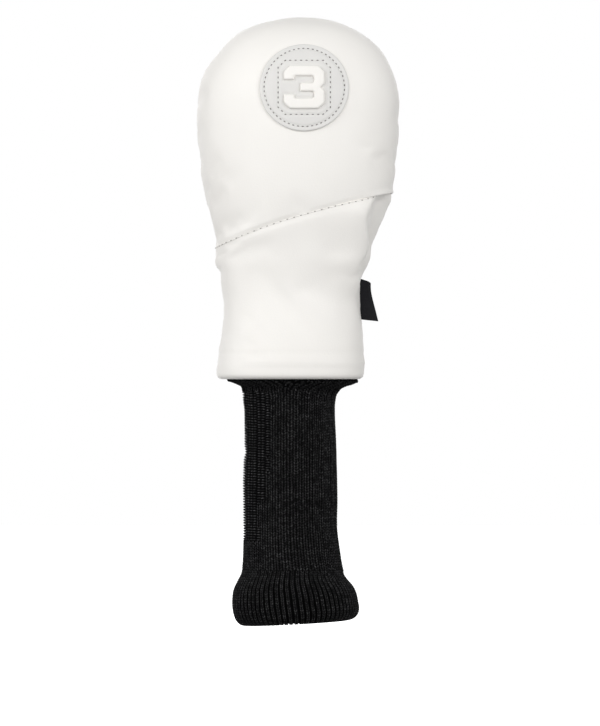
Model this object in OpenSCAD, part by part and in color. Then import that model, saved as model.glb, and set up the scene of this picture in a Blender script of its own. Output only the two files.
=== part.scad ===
// Golf club head cover: a padded leatherette head on a ribbed knit sleeve.
// Frame: z = 0 is the hem plane of the padded head, +Z points to the crown,
// -Y is the face with the number patch, and +X is the heel side with the label.

/* [Padded head] */
// Width of the head at its widest
head_w = 93; // [86:1:104]
// Depth of the head from front to back
head_d = 64; // [56:1:72]
// Height of the head above the hem
head_h = 166; // [158:1:180]
// Height of the widest place above the hem
widest_z = 120; // [112:1:126]
// How far the head's centre lies towards the heel side
head_lean = 3.5; // [0:0.5:6]
// How far the top of the crown lies towards the heel side
peak_x = 5.5; // [0:0.5:10]

/* [Slanted seam] */
// Height of the seam on the toe side
seam_toe_z = 60.5; // [56:0.5:66]
// Height of the seam on the heel side
seam_heel_z = 85.5; // [80:0.5:92]
// Distance of the seam's toe end from the centre plane
seam_toe_x = 34.2; // [33:0.2:38]
// Distance of the seam's heel end from the centre plane
seam_heel_x = 47; // [42:0.5:48]
// How far the seam bows up in the middle of the front and back
seam_bow = 2.4; // [0:0.2:5]
// How far the crown's folded edge stands proud at the seam
seam_step = 0.6; // [0.2:0.1:1.2]

/* [Neck and hem] */
// Width of the neck at its waist
waist_w = 62.4; // [58:0.2:66]
// Depth of the neck at its waist
waist_d = 48; // [44:1:54]
// Height of the waist above the hem
waist_z = 38; // [34:1:42]
// How much higher the waist is on the heel side
waist_slant = 9; // [0:1:12]
// Width of the neck at the hem
hem_w = 68; // [64:1:74]
// Depth of the neck at the hem
hem_d = 54; // [50:1:60]
// Height of the turned-in hem
hem_band = 12; // [9:1:16]

/* [Layers] */
// Thickness of the leatherette
leather_t = 1.2; // [0.8:0.1:1.4]
// Thickness of the foam padding
foam_t = 2.6; // [2:0.1:2.8]
// Thickness of the fleece lining
lining_t = 2; // [1.5:0.1:3]
// Thickness of the waist elastic
elastic_t = 1; // [0.6:0.1:1.4]
// Ease between layers that lie on each other
ease = 0.15; // [0.1:0.01:0.2]

/* [Number patch] */
// Diameter of the round patch
patch_dia = 40.6; // [34:0.2:46]
// Thickness of the patch
patch_t = 1.2; // [0.8:0.1:2]
// Distance of the patch's centre from the centre plane
patch_x = 6.5; // [0:0.5:10]
// Height of the patch's centre above the hem
patch_z = 132.7; // [126:0.1:136]

/* [Side label] */
// Height of the folded label along the side seam
label_h = 19; // [12:0.5:20]
// How far the label's lower edge stands out of the seam
label_out = 8; // [6:0.5:12]
// Thickness of the folded label
label_t = 0.9; // [0.6:0.1:1.4]
// Height of the label's top edge above the hem
label_z = 46.5; // [43:0.5:50]

/* [Knit sleeve] */
// Width of the sleeve
sleeve_w = 42.4; // [38:0.2:48]
// Depth of the sleeve
sleeve_d = 39; // [36:1:42]
// Height of the gathered collar under the hem
collar_h = 8; // [7:0.5:10]
// Number of gathers round the collar
gathers = 22; // [18:2:28]
// Length from the hem to the rib cuff
sleeve_l = 87.5; // [70:0.5:110]
// Thickness of the knit
knit_t = 2.4; // [1.8:0.1:3]

/* [Rib cuff] */
// Width of the cuff at its bulge
cuff_w = 58; // [56:0.5:62]
// Depth of the cuff at its bulge
cuff_d = 57; // [55:1:60]
// Height of the cuff
cuff_h = 25.4; // [22:0.2:32]
// Diameter of the open mouth
mouth_dia = 43; // [40:1:44]
// How far the mouth lies towards the heel side
mouth_x = 2.6; // [0:0.2:3]
// How far the mouth's heel edge lies above its toe edge
mouth_rise = 2; // [0:0.2:4]
// Number of ribs round the cuff
ribs = 72; // [48:4:80]
// Depth of the grooves between the ribs
rib_depth = 0.9; // [0.4:0.1:1.4]

/* [Hidden] */

// Colours
white_leather = [0.95, 0.94, 0.92];
grey_leather = [0.84, 0.84, 0.84];
foam_colour = [0.93, 0.90, 0.80];
fleece_colour = [0.75, 0.75, 0.76];
elastic_colour = [0.30, 0.30, 0.31];
black_knit = [0.07, 0.07, 0.08];
black_woven = [0.05, 0.05, 0.06];

// Shape exponents: 2 is an ellipse, and more is boxier
section_n = 2.6;
dome_n = 2.3;
knit_n = 2.1;

// Places along the head's outline, one whole step of u from each knot to the next
hem = 0;
band = 1;
waist = 2;
seam = 4;
widest = 6;
peak = 7;

half_steps = 16;
step_u = 0.01;
step_a = 1;

// Depths under the outer surface
foam_out = leather_t + ease;
foam_in = foam_out + foam_t;
hem_roll = (foam_in + ease + leather_t) / 2;
lining_out = foam_in + ease;
lining_in = lining_out + lining_t;

front_angles = [for (i = [0:half_steps]) 180 + 180 * i / half_steps];
back_angles = [for (i = [0:half_steps]) 180 * i / half_steps];
ring_angles = [for (i = [0:2 * half_steps - 1]) 180 * i / half_steps];
knit_angles = [for (i = [0:2 * gathers - 1]) 180 * i / gathers];

function mix(a, b, s) = a + (b - a) * s;
function between(a, b, sx, sz) = [mix(a.x, b.x, sx), mix(a.y, b.y, sz)];
function span(a, b, n) = [for (i = [0:n]) mix(a, b, i / n)];
function swell(c, n) = sign(c) * pow(abs(c), 2 / n);
function unit(v) = v / norm(v);

// A smooth curve through knots, one to each whole step of u; e0 and e1 are its slopes at the ends
function curve(p, u, e0, e1) =
    let (n = len(p) - 1, i = min(floor(max(u, 0)), n - 1), s = u - i)
    let (m0 = i == 0 ? e0 : (p[i + 1] - p[i - 1]) / 2)
    let (m1 = i == n - 1 ? e1 : (p[i + 2] - p[i]) / 2)
    p[i] * (2 * pow(s, 3) - 3 * pow(s, 2) + 1) + m0 * (pow(s, 3) - 2 * pow(s, 2) + s)
    + p[i + 1] * (3 * pow(s, 2) - 2 * pow(s, 3)) + m1 * (pow(s, 3) - pow(s, 2));

// Outline of the head from the hem to the widest place, as [x, z], and the half depths there.
// The toe side is already narrower at the top of the hem.
toe_hem_in = 1.2;
toe_waist = [-waist_w / 2, waist_z - waist_slant / 2];
heel_waist = [waist_w / 2, waist_z + waist_slant / 2];
toe_seam = [-seam_toe_x, seam_toe_z];
heel_seam = [seam_heel_x, seam_heel_z];
toe_wide = [head_lean - head_w / 2, widest_z];
heel_wide = [head_lean + head_w / 2, widest_z];

toe_knots = [
    [-hem_w / 2, hem_roll],
    [toe_hem_in - hem_w / 2, hem_band],
    toe_waist,
    between(toe_waist, toe_seam, 0.83, 0.68),
    toe_seam,
    between(toe_seam, toe_wide, 0.56, 0.43),
    toe_wide,
];
heel_knots = [
    [hem_w / 2, hem_roll],
    [hem_w / 2, hem_band],
    heel_waist,
    between(heel_waist, heel_seam, 0.39, 0.36),
    heel_seam,
    between(heel_seam, heel_wide, 0.6, 0.44),
    heel_wide,
];
depth_knots = [
    hem_d / 2,
    hem_d / 2 - 0.4,
    waist_d / 2,
    mix(waist_d, head_d, 0.25) / 2,
    mix(waist_d, head_d, 0.65) / 2,
    mix(waist_d, head_d, 0.93) / 2,
    head_d / 2,
];

// A point of the crown's dome; side is -1 for the toe rail and 1 for the heel rail
function dome_rail(u, side) =
    let (turn = 90 * (u - widest), rise = swell(sin(turn), dome_n), reach = swell(cos(turn), dome_n))
    [mix(head_lean, peak_x, rise) + side * reach * head_w / 2, mix(widest_z, head_h, rise)];

function toe_rail(u) = u > widest ? dome_rail(u, -1) : curve(toe_knots, u, [0, hem_band], [0, widest_z / 4]);
function heel_rail(u) = u > widest ? dome_rail(u, 1) : curve(heel_knots, u, [0, hem_band], [0, widest_z / 4]);
function half_depth(u) =
    u > widest ? swell(cos(90 * (u - widest)), dome_n) * head_d / 2 : curve(depth_knots, u, 0, 0);

// How far the rows near the seam bow up, at a share across from -1 at the toe to 1 at the heel.
// The bow is fuller on the toe side.
bow_reach = 2;
bow_skew = 0.35;
function bow(u, across) =
    seam_bow * pow(max(0, 1 - pow((u - seam) / bow_reach, 2)), 2)
    * (1 - across * across) * (1 - bow_skew * across);

// A point of the head's outer surface at place u and angle a, seen from above
function skin(u, a) =
    let (toe = toe_rail(u), heel = heel_rail(u), across = swell(cos(a), section_n))
    let (flat = (toe + heel) / 2 + (heel - toe) / 2 * across)
    [flat.x, half_depth(u) * swell(sin(a), section_n), flat.y + bow(u, across)];

function outward(u, a) =
    unit(cross(skin(u, a + step_a) - skin(u, a - step_a), skin(u + step_u, a) - skin(u - step_u, a)));

// A point at depth d under the surface; the top of the crown is a single point
function under(u, a, d) = u >= peak ? [peak_x, 0, head_h - d] : skin(u, a) - outward(u, a) * d;

function rows(us, angles, d) = [for (u = us) [for (a = angles) under(u, a, d)]];

// A wall between two stacks of rows, from the bottom up. It closes on itself when it is a
// ring, and its last rows are single points when tip is set.
module wall(outer, inner, ring = false, tip = false) {
    n = len(outer[0]);
    m = len(outer) - (tip ? 1 : 0);
    inside = n * m;
    tip_outer = 2 * inside;
    tip_inner = tip_outer + 1;
    across = ring ? n - 1 : n - 2;
    function at(i, j) = i * n + j % n;
    points = concat(
        [for (i = [0:m - 1]) each outer[i]],
        [for (i = [0:m - 1]) each inner[i]],
        tip ? [outer[m][0], inner[m][0]] : []
    );
    skins = [
        for (i = [0:m - 2]) for (j = [0:across])
        each [
            [at(i, j), at(i + 1, j), at(i + 1, j + 1)],
            [at(i, j), at(i + 1, j + 1), at(i, j + 1)],
            [inside + at(i, j), inside + at(i + 1, j + 1), inside + at(i + 1, j)],
            [inside + at(i, j), inside + at(i, j + 1), inside + at(i + 1, j + 1)],
        ]
    ];
    lower_edge = [
        for (j = [0:across])
        each [
            [at(0, j), at(0, j + 1), inside + at(0, j)],
            [inside + at(0, j), at(0, j + 1), inside + at(0, j + 1)],
        ]
    ];
    upper_edge = [
        for (j = [0:across])
        each tip
            ? [
                [at(m - 1, j), tip_outer, at(m - 1, j + 1)],
                [inside + at(m - 1, j), inside + at(m - 1, j + 1), tip_inner],
            ]
            : [
                [at(m - 1, j), inside + at(m - 1, j), at(m - 1, j + 1)],
                [inside + at(m - 1, j), inside + at(m - 1, j + 1), at(m - 1, j + 1)],
            ]
    ];
    sides = ring ? [] : [
        for (i = [0:m - 2])
        each [
            [at(i, 0), inside + at(i, 0), at(i + 1, 0)],
            [inside + at(i, 0), inside + at(i + 1, 0), at(i + 1, 0)],
            [at(i, n - 1), at(i + 1, n - 1), inside + at(i, n - 1)],
            [inside + at(i, n - 1), at(i + 1, n - 1), inside + at(i + 1, n - 1)],
        ]
    ];
    tip_sides = ring || !tip ? [] : [
        [at(m - 1, 0), inside + at(m - 1, 0), tip_outer],
        [inside + at(m - 1, 0), tip_inner, tip_outer],
        [at(m - 1, n - 1), tip_outer, inside + at(m - 1, n - 1)],
        [inside + at(m - 1, n - 1), tip_outer, tip_inner],
    ];
    polyhedron(points, concat(skins, lower_edge, upper_edge, sides, tip_sides));
}

// A solid of closed rows between a first and a last point
module plug(first, stack, last) {
    n = len(stack[0]);
    m = len(stack);
    function at(i, j) = 1 + i * n + j % n;
    polyhedron(
        concat([first], [for (row = stack) each row], [last]),
        concat(
            [for (j = [0:n - 1]) [0, at(0, j), at(0, j + 1)]],
            [
                for (i = [0:m - 2]) for (j = [0:n - 1])
                each [[at(i, j), at(i + 1, j), at(i, j + 1)], [at(i + 1, j), at(i + 1, j + 1), at(i, j + 1)]]
            ],
            [for (j = [0:n - 1]) [1 + n * m, at(m - 1, j + 1), at(m - 1, j)]]
        )
    );
}

// Places along the head where each layer has its rows
neck_places = concat([hem, 0.5, band], span(waist - 0.4, seam, 6));
crown_places = concat(
    [seam, seam + 0.12], span(seam + 0.4, widest, 3), span(widest + 0.2, peak - 0.12, 4), [peak]
);
lining_places = concat([for (i = [2:len(neck_places) - 2]) neck_places[i]], crown_places);

// How far the crown stands proud of the neck near the seam
function proud(u) = seam_step * pow(max(0, 1 - (u - seam) / 0.4), 2);

module crown(angles) {
    color(white_leather)
    wall(
        [for (u = crown_places) [for (a = angles) under(u, a, -proud(u))]],
        rows(crown_places, angles, leather_t),
        tip = true
    );
}

// The neck's leather runs down the inside of the hem, round its roll and up the outside
module neck(angles) {
    steps = 6;
    function roll(r, turn) =
        [for (a = angles) under(hem, a, hem_roll - r * cos(turn)) - [0, 0, r * sin(turn)]];
    function leather(depth) = concat(
        rows([band, 0.5, hem], angles, 2 * hem_roll - depth),
        [for (i = [1:steps - 1]) roll(hem_roll - depth, 180 - 180 * i / steps)],
        rows(neck_places, angles, depth)
    );
    color(white_leather)
    wall(leather(0), leather(leather_t));
}

module padding(places, angles, tip) {
    color(foam_colour)
    wall(rows(places, angles, foam_out), rows(places, angles, foam_in), tip = tip);
}

module lining(angles) {
    color(fleece_colour)
    wall(rows(lining_places, angles, lining_out), rows(lining_places, angles, lining_in), tip = true);
}

module waist_elastic() {
    places = [waist - 0.4, waist, waist + 0.4];
    color(elastic_colour)
    wall(
        rows(places, ring_angles, lining_in + ease),
        rows(places, ring_angles, lining_in + ease + elastic_t),
        ring = true
    );
}

// The place on the front of the crown that lies at x and z, found in a few steps from u and a
function front_place(x, z, u, a, steps) =
    steps == 0 ? [u, a] :
    let (p = skin(u, a), along = (skin(u + step_u, a) - p) / step_u)
    let (across = (skin(u, a + step_a) - p) / step_a)
    let (ex = x - p.x, ez = z - p.z, area = along.x * across.z - across.x * along.z)
    front_place(
        x, z, u + (ex * across.z - ez * across.x) / area, a + (along.x * ez - along.z * ex) / area, steps - 1
    );

// The patch follows the crown: rings round its centre from the back, over the rim, to the face
module round_patch() {
    facets = 32;
    rim = patch_t / 2;
    back = [for (s = [0.25, 0.5, 0.75, 1]) [s * (patch_dia / 2 - rim / 2), ease]];
    edge = [for (turn = [-45:45:45]) [patch_dia / 2 - rim + rim * cos(turn), ease + rim * (1 + sin(turn))]];
    face = [for (s = [1, 0.75, 0.5, 0.25]) [s * (patch_dia / 2 - rim), ease + patch_t]];
    function on_crown(r, a, lift) =
        let (place = front_place(patch_x + r * cos(a), patch_z + r * sin(a), widest + 0.2, 270, 8))
        under(place.x, place.y, -lift);
    color(grey_leather)
    plug(
        on_crown(0, 0, ease),
        [
            for (ring = concat(back, edge, face))
            [for (i = [0:facets - 1]) on_crown(ring.x, 360 * i / facets, ring.y)]
        ],
        on_crown(0, 0, ease + patch_t)
    );
}

// The place on the heel rail at height z, found by halving
function heel_place(z, low, high, steps) =
    let (u = (low + high) / 2)
    steps == 0 ? u :
    heel_rail(u).y < z ? heel_place(z, u, high, steps - 1) : heel_place(z, low, u, steps - 1);

// The label's root follows the side seam at a small distance, and the label hinges just outside it
label_gap = 0.5;
label_places = span(
    heel_place(label_z, band, seam, 16),
    heel_place(label_z - label_h, band, seam, 16),
    5
);
label_root = [for (u = label_places) heel_rail(u) + [label_gap, 0]];

module side_label() {
    corner = 1.5;
    outer_top = label_root[0] + [0.62 * label_out, 0];
    outer_foot = label_root[5] + [label_out, 0];
    color(black_woven)
    translate([0, label_t / 2, 0])
    rotate([90, 0, 0])
    linear_extrude(label_t)
    polygon(concat(
        label_root,
        [outer_foot],
        [for (turn = [0:30:90]) outer_top - [corner, corner + 0.2] + corner * [cos(turn), sin(turn)]]
    ));
}

// A row of the knit: its height, width and depth, and how far it lies towards the heel side
function knit_row(z, w, d, x, angles = knit_angles) =
    [for (a = angles) [x + swell(cos(a), knit_n) * w / 2, swell(sin(a), knit_n) * d / 2, z]];
function inset(points, x, t) = [for (p = points) p - t * unit([p.x - x, p.y, 0])];

// The gathered collar widens from the sleeve to the inside of the hem. A gathered row's share
// is 0 at the sleeve's size and 1 at the hem's, and its drop is a share of the collar's height.
module knit_collar() {
    sleeve_row = knit_row(-collar_h, sleeve_w, sleeve_d, 0);
    hem_rows = rows([hem, 0.5], knit_angles, 2 * hem_roll + ease);
    function gathered(share, drop, puff) = [
        for (i = [0:len(knit_angles) - 1])
        let (p = mix(sleeve_row[i], hem_rows[0][i], share), q = [p.x, p.y, 0])
        q * (1 + (i % 2 == 0 ? puff : -puff) / norm(q)) - [0, 0, drop * collar_h]
    ];
    outer = concat(
        [sleeve_row, gathered(0.08, 0.85, 0.3), gathered(0.18, 0.6, 0.5), gathered(0.6, 0.38, 0.7)],
        [gathered(1.15, 0.2, 0.5), gathered(1.13, 0.06, 0.3), gathered(1, -0.04, 0)],
        hem_rows
    );
    color(black_knit)
    wall(outer, [for (row = outer) inset(row, 0, knit_t)], ring = true);
}

sleeve_end_w = sleeve_w + 4;
sleeve_end_d = sleeve_d + 4;
sleeve_end_x = mouth_x / 2;

// Each station is a share of the sleeve's length above the cuff, and how far it flares there
module knit_sleeve() {
    stations = [[0, 1], [0.07, 0.55], [0.18, 0.15], [0.4, 0], [1, 0]];
    function stack(cut) = [
        for (s = stations)
        knit_row(
            mix(-sleeve_l, -collar_h, s.x),
            mix(sleeve_w, sleeve_end_w, s.y) - cut,
            mix(sleeve_d, sleeve_end_d, s.y) - cut,
            s.y * sleeve_end_x
        )
    ];
    color(black_knit)
    wall(stack(0), stack(2 * knit_t), ring = true);
}

// The turned-in part of the cuff is a plain band, and the mouth is its hole
mouth_z = 2 - sleeve_l - cuff_h;
turn_h = cuff_h / 2;
turn_r = mouth_dia / 2 + knit_t;

// The cuff's outer fold has a groove at every second facet. Each station is a share of the
// cuff's height and how far it bulges there.
module rib_cuff() {
    facets = 2 * ribs;
    stations = [
        [0, 0.4], [0.07, 0.72], [0.17, 0.92], [0.32, 1], [0.5, 0.94],
        [0.66, 0.68], [0.83, 0.22], [1, 0],
    ];
    function fold_row(s) =
        let (w = mix(sleeve_end_w, cuff_w, s.y), d = mix(sleeve_end_d, cuff_d, s.y))
        [
            for (i = [0:facets - 1])
            let (a = 360 * i / facets, groove = i % 2 == 0 ? 2 * rib_depth * min(1, 4 - 4 * s.x) : 0)
            let (x = swell(cos(a), knit_n) * (w - groove) / 2, slant = mouth_rise * x / cuff_w)
            [
                mix(mouth_x, sleeve_end_x, s.x) + x,
                swell(sin(a), knit_n) * (d - groove) / 2,
                -sleeve_l - (1 - s.x) * (cuff_h - slant),
            ]
        ];
    color(black_knit)
    difference() {
        plug(
            [mouth_x, 0, -sleeve_l - cuff_h], [for (s = stations) fold_row(s)], [sleeve_end_x, 0, -sleeve_l]
        );
        translate([mouth_x, 0, mouth_z - 10])
        cylinder(h = turn_h + 10, r = turn_r + ease, $fn = 96);
        translate([mouth_x, 0, mouth_z + turn_h - 0.01])
        cylinder(h = cuff_h - turn_h, r1 = turn_r + ease, r2 = sleeve_end_d / 2 - knit_t - 1, $fn = 96);
    }
}

module cuff_turn() {
    color(black_knit)
    translate([mouth_x, 0, mouth_z])
    difference() {
        cylinder(h = turn_h, r = turn_r, $fn = 96);
        translate([0, 0, -1])
        cylinder(h = turn_h + 2, r = mouth_dia / 2, $fn = 96);
    }
}

crown(front_angles);  // crown_front
crown(back_angles);  // crown_back
neck(front_angles);  // neck_front
neck(back_angles);  // neck_back
padding(crown_places, front_angles, true);  // crown_foam_front
padding(crown_places, back_angles, true);  // crown_foam_back
padding(neck_places, front_angles, false);  // neck_foam_front
padding(neck_places, back_angles, false);  // neck_foam_back
lining(front_angles);  // lining_front
lining(back_angles);  // lining_back
waist_elastic();
round_patch();
side_label();
knit_collar();
knit_sleeve();
rib_cuff();
cuff_turn();
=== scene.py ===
import math

import bmesh
import bpy
import numpy as np
from mathutils import Matrix, Vector
from mathutils.bvhtree import BVHTree


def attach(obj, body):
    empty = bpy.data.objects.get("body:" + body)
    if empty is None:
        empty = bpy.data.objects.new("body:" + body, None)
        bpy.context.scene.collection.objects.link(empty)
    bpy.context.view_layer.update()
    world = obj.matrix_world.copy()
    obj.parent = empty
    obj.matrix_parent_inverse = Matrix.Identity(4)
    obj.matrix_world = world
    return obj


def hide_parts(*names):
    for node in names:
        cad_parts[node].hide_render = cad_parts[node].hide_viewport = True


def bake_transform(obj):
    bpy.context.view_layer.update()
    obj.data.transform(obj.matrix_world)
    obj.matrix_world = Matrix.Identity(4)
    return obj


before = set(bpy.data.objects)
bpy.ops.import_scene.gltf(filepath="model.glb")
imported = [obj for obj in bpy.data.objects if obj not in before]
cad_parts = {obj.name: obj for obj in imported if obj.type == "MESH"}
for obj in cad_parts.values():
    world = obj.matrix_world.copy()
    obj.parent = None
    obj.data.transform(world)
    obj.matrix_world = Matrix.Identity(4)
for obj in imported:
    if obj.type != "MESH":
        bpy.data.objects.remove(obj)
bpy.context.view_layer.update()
mm = 0.001
scene = bpy.context.scene

# small tools


def linkObject(name, data):
    piece = bpy.data.objects.new(name, data)
    scene.collection.objects.link(piece)
    return piece


def meshObject(name, points, faces, material=None):
    mesh = bpy.data.meshes.new(name)
    mesh.from_pydata(np.asarray(points).reshape(-1, 3).tolist(), [], faces)
    mesh.update()
    mesh.shade_smooth()
    if material:
        mesh.materials.append(material)
    return linkObject(name, mesh)


def closeSolid(piece, sharpAngle=60, weld=0.002 * mm, sliver=0.0005 * mm):
    # one skin: doubled points merged, faces pointing out
    form = bmesh.new()
    form.from_mesh(piece.data)
    bmesh.ops.remove_doubles(form, verts=form.verts, dist=weld)
    bmesh.ops.dissolve_degenerate(form, dist=sliver, edges=form.edges)
    bmesh.ops.recalc_face_normals(form, faces=form.faces)
    if form.calc_volume(signed=True) < 0:
        bmesh.ops.reverse_faces(form, faces=form.faces)
    form.to_mesh(piece.data)
    form.free()
    piece.data.shade_smooth()
    piece.data.set_sharp_from_angle(angle=math.radians(sharpAngle))


def gridFaces(rowCount, columnCount, ringed=False, looped=False):
    faces = []
    for i in range(rowCount if looped else rowCount - 1):
        below, above = i * columnCount, (i + 1) % rowCount * columnCount
        for j in range(columnCount if ringed else columnCount - 1):
            beside = (j + 1) % columnCount
            faces.append((below + j, below + beside, above + beside, above + j))
    return faces


def fanFaces(start, count, tip):
    # from a ring of points to one point
    return [(start + j, start + (j + 1) % count, tip) for j in range(count)]


def unit(vectors):
    return vectors / np.maximum(np.linalg.norm(vectors, axis=-1, keepdims=True), 1e-12)


def cubic(first, last, firstSlope, lastSlope, s):
    # from first to last as s goes from 0 to 1, with a slope at either end
    return (
        first * (2 * s**3 - 3 * s**2 + 1) + firstSlope * (s**3 - 2 * s**2 + s)
        + last * (3 * s**2 - 2 * s**3) + lastSlope * (s**3 - s**2)
    )


def easedCurve(knots, where, column=1):
    # a smooth curve through rows of knots that needn't be evenly spaced; each row starts with its place
    knots = np.asarray(knots, float)
    places, values = knots[:, 0], knots[:, column]
    slopes = np.gradient(values, places)
    where = np.clip(where, places[0], places[-1])
    i = np.clip(np.searchsorted(places, where, side="right") - 1, 0, len(places) - 2)
    gap = places[i + 1] - places[i]
    return cubic(values[i], values[i + 1], slopes[i] * gap, slopes[i + 1] * gap, (where - places[i]) / gap)


def ramp(value, low, high):
    s = np.clip((value - low) / (high - low), 0, 1)
    return s * s * (3 - 2 * s)


def bell(distance, reach):
    # 1 at no distance, and almost nothing at twice the reach
    return np.exp(-((distance / reach) ** 2))


def wander(where, period, seed):
    # a smooth line between -1 and 1 that never quite repeats, from four waves of unlike periods
    dice = np.random.default_rng(seed)
    total = np.zeros_like(np.asarray(where, float))
    for share in (1.0, 0.62, 1.47, 0.81):
        total = total + np.sin(2 * math.pi * where / (period * share) + dice.uniform(0, 2 * math.pi))
    return total / 3


def gradedSteps(length, finest, coarsest, growth=1.16, bothEnds=False):
    # places along a length, close together at its start, or at both its ends
    reach = length / 2 if bothEnds else length
    steps, total, step = [0.0], 0.0, finest
    while total < reach:
        total += step
        steps.append(total)
        step = min(step * growth, coarsest)
    steps = np.array(steps) * reach / total
    return np.concatenate([steps, length - steps[-2::-1]]) if bothEnds else steps


# finishes, and the small tools that wire them


def feed(tree, socket, value):
    # an input takes another node's output or a plain value
    if isinstance(value, bpy.types.NodeSocket):
        tree.links.new(value, socket)
    else:
        socket.default_value = value


def wire(tree, node, **values):
    # each value goes to the input of its name, where _ stands for a space
    for key, value in values.items():
        feed(tree, node.inputs[key.replace("_", " ")], value)


def addNode(tree, kind, *inOrder, **values):
    # unnamed values go to the inputs in their order; a named one is a setting of the node or an input
    node = tree.nodes.new(kind)
    settings = {key: value for key, value in values.items() if hasattr(node, key)}
    for key, value in settings.items():
        setattr(node, key, value)
    for socket, value in zip(node.inputs, inOrder):
        feed(tree, socket, value)
    wire(tree, node, **{key: value for key, value in values.items() if key not in settings})
    return node


def made(tree, kind, *inOrder, **values):
    # the first output of a new node
    return addNode(tree, kind, *inOrder, **values).outputs[0]


def startMaterial(name, look):
    material = bpy.data.materials.new(name)
    material.use_nodes = True
    material.diffuse_color = (*look["colour"], 1)
    tree = material.node_tree
    shader = tree.nodes["Principled BSDF"]
    wire(tree, shader, Base_Color=(*look["colour"], 1), Roughness=look["roughness"])
    if "shine" in look:
        wire(tree, shader, Specular_IOR_Level=look["shine"])
    return material, tree, shader, addNode(tree, "ShaderNodeTexCoord").outputs["Object"]


def noise(tree, place, scale, detail):
    return made(tree, "ShaderNodeTexNoise", Vector=place, Scale=scale, Detail=detail)


def mixedColour(tree, factor, first, second):
    node = addNode(tree, "ShaderNodeMix", data_type="RGBA")
    for place, value in ((0, factor), (6, (*first, 1)), (7, (*second, 1))):
        feed(tree, node.inputs[place], value)
    return node.outputs[2]


def mapped(tree, value, low, high, fromLow=0.0, fromHigh=1.0):
    # what lies between fromLow and fromHigh is spread between low and high
    return made(
        tree, "ShaderNodeMapRange", Value=value, From_Min=fromLow, From_Max=fromHigh, To_Min=low, To_Max=high
    )


def combined(tree, operation, *values):
    return made(tree, "ShaderNodeMath", *values, operation=operation)


def bumped(tree, shader, height, distance, strength):
    bump = made(tree, "ShaderNodeBump", Height=height, Distance=distance, Strength=strength)
    wire(tree, shader, Normal=bump)


hideTexture = {
    "cloudDetail": 3.0, "cloudRange": (0.35, 0.65),
    "sheenRange": (0.3, 0.7), "glossier": 0.05, "duller": 0.07,
    "grainSoftness": 0.35, "poreDetail": 2.0, "poreScale": 2.7, "poreDepth": 0.35,
}


def leatherette(name, look):
    # cloudy tone over the whole hide, then the pebbled grain and its pores
    hide = hideTexture
    rough, grainScale = look["roughness"], look["grainScale"]
    material, tree, shader, place = startMaterial(name, look)
    clouds = noise(tree, place, look["cloudScale"], hide["cloudDetail"])
    pores = noise(tree, place, grainScale * hide["poreScale"], hide["poreDetail"])
    grain = made(
        tree, "ShaderNodeTexVoronoi", feature="SMOOTH_F1", Vector=place, Scale=grainScale,
        Smoothness=hide["grainSoftness"],
    )
    tone = mixedColour(tree, mapped(tree, clouds, 0, 1, *hide["cloudRange"]), look["colour"], look["deeper"])
    sheen = mapped(tree, clouds, rough - hide["glossier"], rough + hide["duller"], *hide["sheenRange"])
    height = combined(tree, "ADD", grain, combined(tree, "MULTIPLY", pores, hide["poreDepth"]))
    bumped(tree, shader, height, look["grainDepth"], look["grainStrength"])
    wire(tree, shader, Base_Color=tone, Roughness=sheen)
    return material


def fleece(name, look):
    material, tree, shader, place = startMaterial(name, look)
    tufts = noise(tree, place, look["tuftScale"], look["tuftDetail"])
    curls = made(tree, "ShaderNodeTexVoronoi", Vector=place, Scale=look["curlScale"])
    bumped(tree, shader, combined(tree, "ADD", tufts, curls), look["pileDepth"], look["pileStrength"])
    tone = mixedColour(tree, tufts, look["colour"], look["deeper"])
    wire(tree, shader, Base_Color=tone, Sheen_Weight=look["sheen"])
    return material


strandTexture = {
    "stretch": (1, 1, 0.45), "fibreDetail": 3.0, "fibreRange": (0.38, 0.64), "patchDetail": 2.0,
    "patchRange": (0.35, 0.65), "depth": 0.12 * mm, "strength": 0.8, "sheenRoughness": 0.4,
}


def yarn(name, look):
    # fibres run mostly up and down, and a few catch the light
    strand = strandTexture
    material, tree, shader, place = startMaterial(name, look)
    stretched = made(tree, "ShaderNodeMapping", Scale=strand["stretch"], Vector=place)
    fibres = noise(tree, stretched, look["fibreScale"], strand["fibreDetail"])
    patches = noise(tree, place, look["patchScale"], strand["patchDetail"])
    pale = combined(
        tree, "MULTIPLY",
        mapped(tree, fibres, look["leastFibre"], 1, *strand["fibreRange"]),
        mapped(tree, patches, look["leastPatch"], 1, *strand["patchRange"]),
    )
    if look["knitted"]:
        # painted highlight: each loop's crest is painted paler than its foot, as if lit, and loops differ in
        # tone
        crest = addNode(tree, "ShaderNodeAttribute", attribute_name="crest").outputs["Fac"]
        shade = addNode(tree, "ShaderNodeAttribute", attribute_name="shade").outputs["Fac"]
        paintedCrestHighlight = combined(tree, "POWER", mapped(tree, crest, 0, 1, *look["crestFrom"]), look["crestPower"])
        paintedCrestHighlight = combined(tree, "MULTIPLY", paintedCrestHighlight, mapped(tree, shade, look["leastShade"], 1))
        pale = combined(tree, "MULTIPLY", pale, paintedCrestHighlight)
    bumped(tree, shader, fibres, strand["depth"], strand["strength"])
    tone = mixedColour(tree, pale, look["colour"], look["paler"])
    wire(tree, shader, Base_Color=tone, Sheen_Weight=look["sheen"], Sheen_Roughness=strand["sheenRoughness"])
    return material


weaveTexture = {"distortion": 0.6, "depth": 0.1 * mm, "strength": 0.8}


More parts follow.
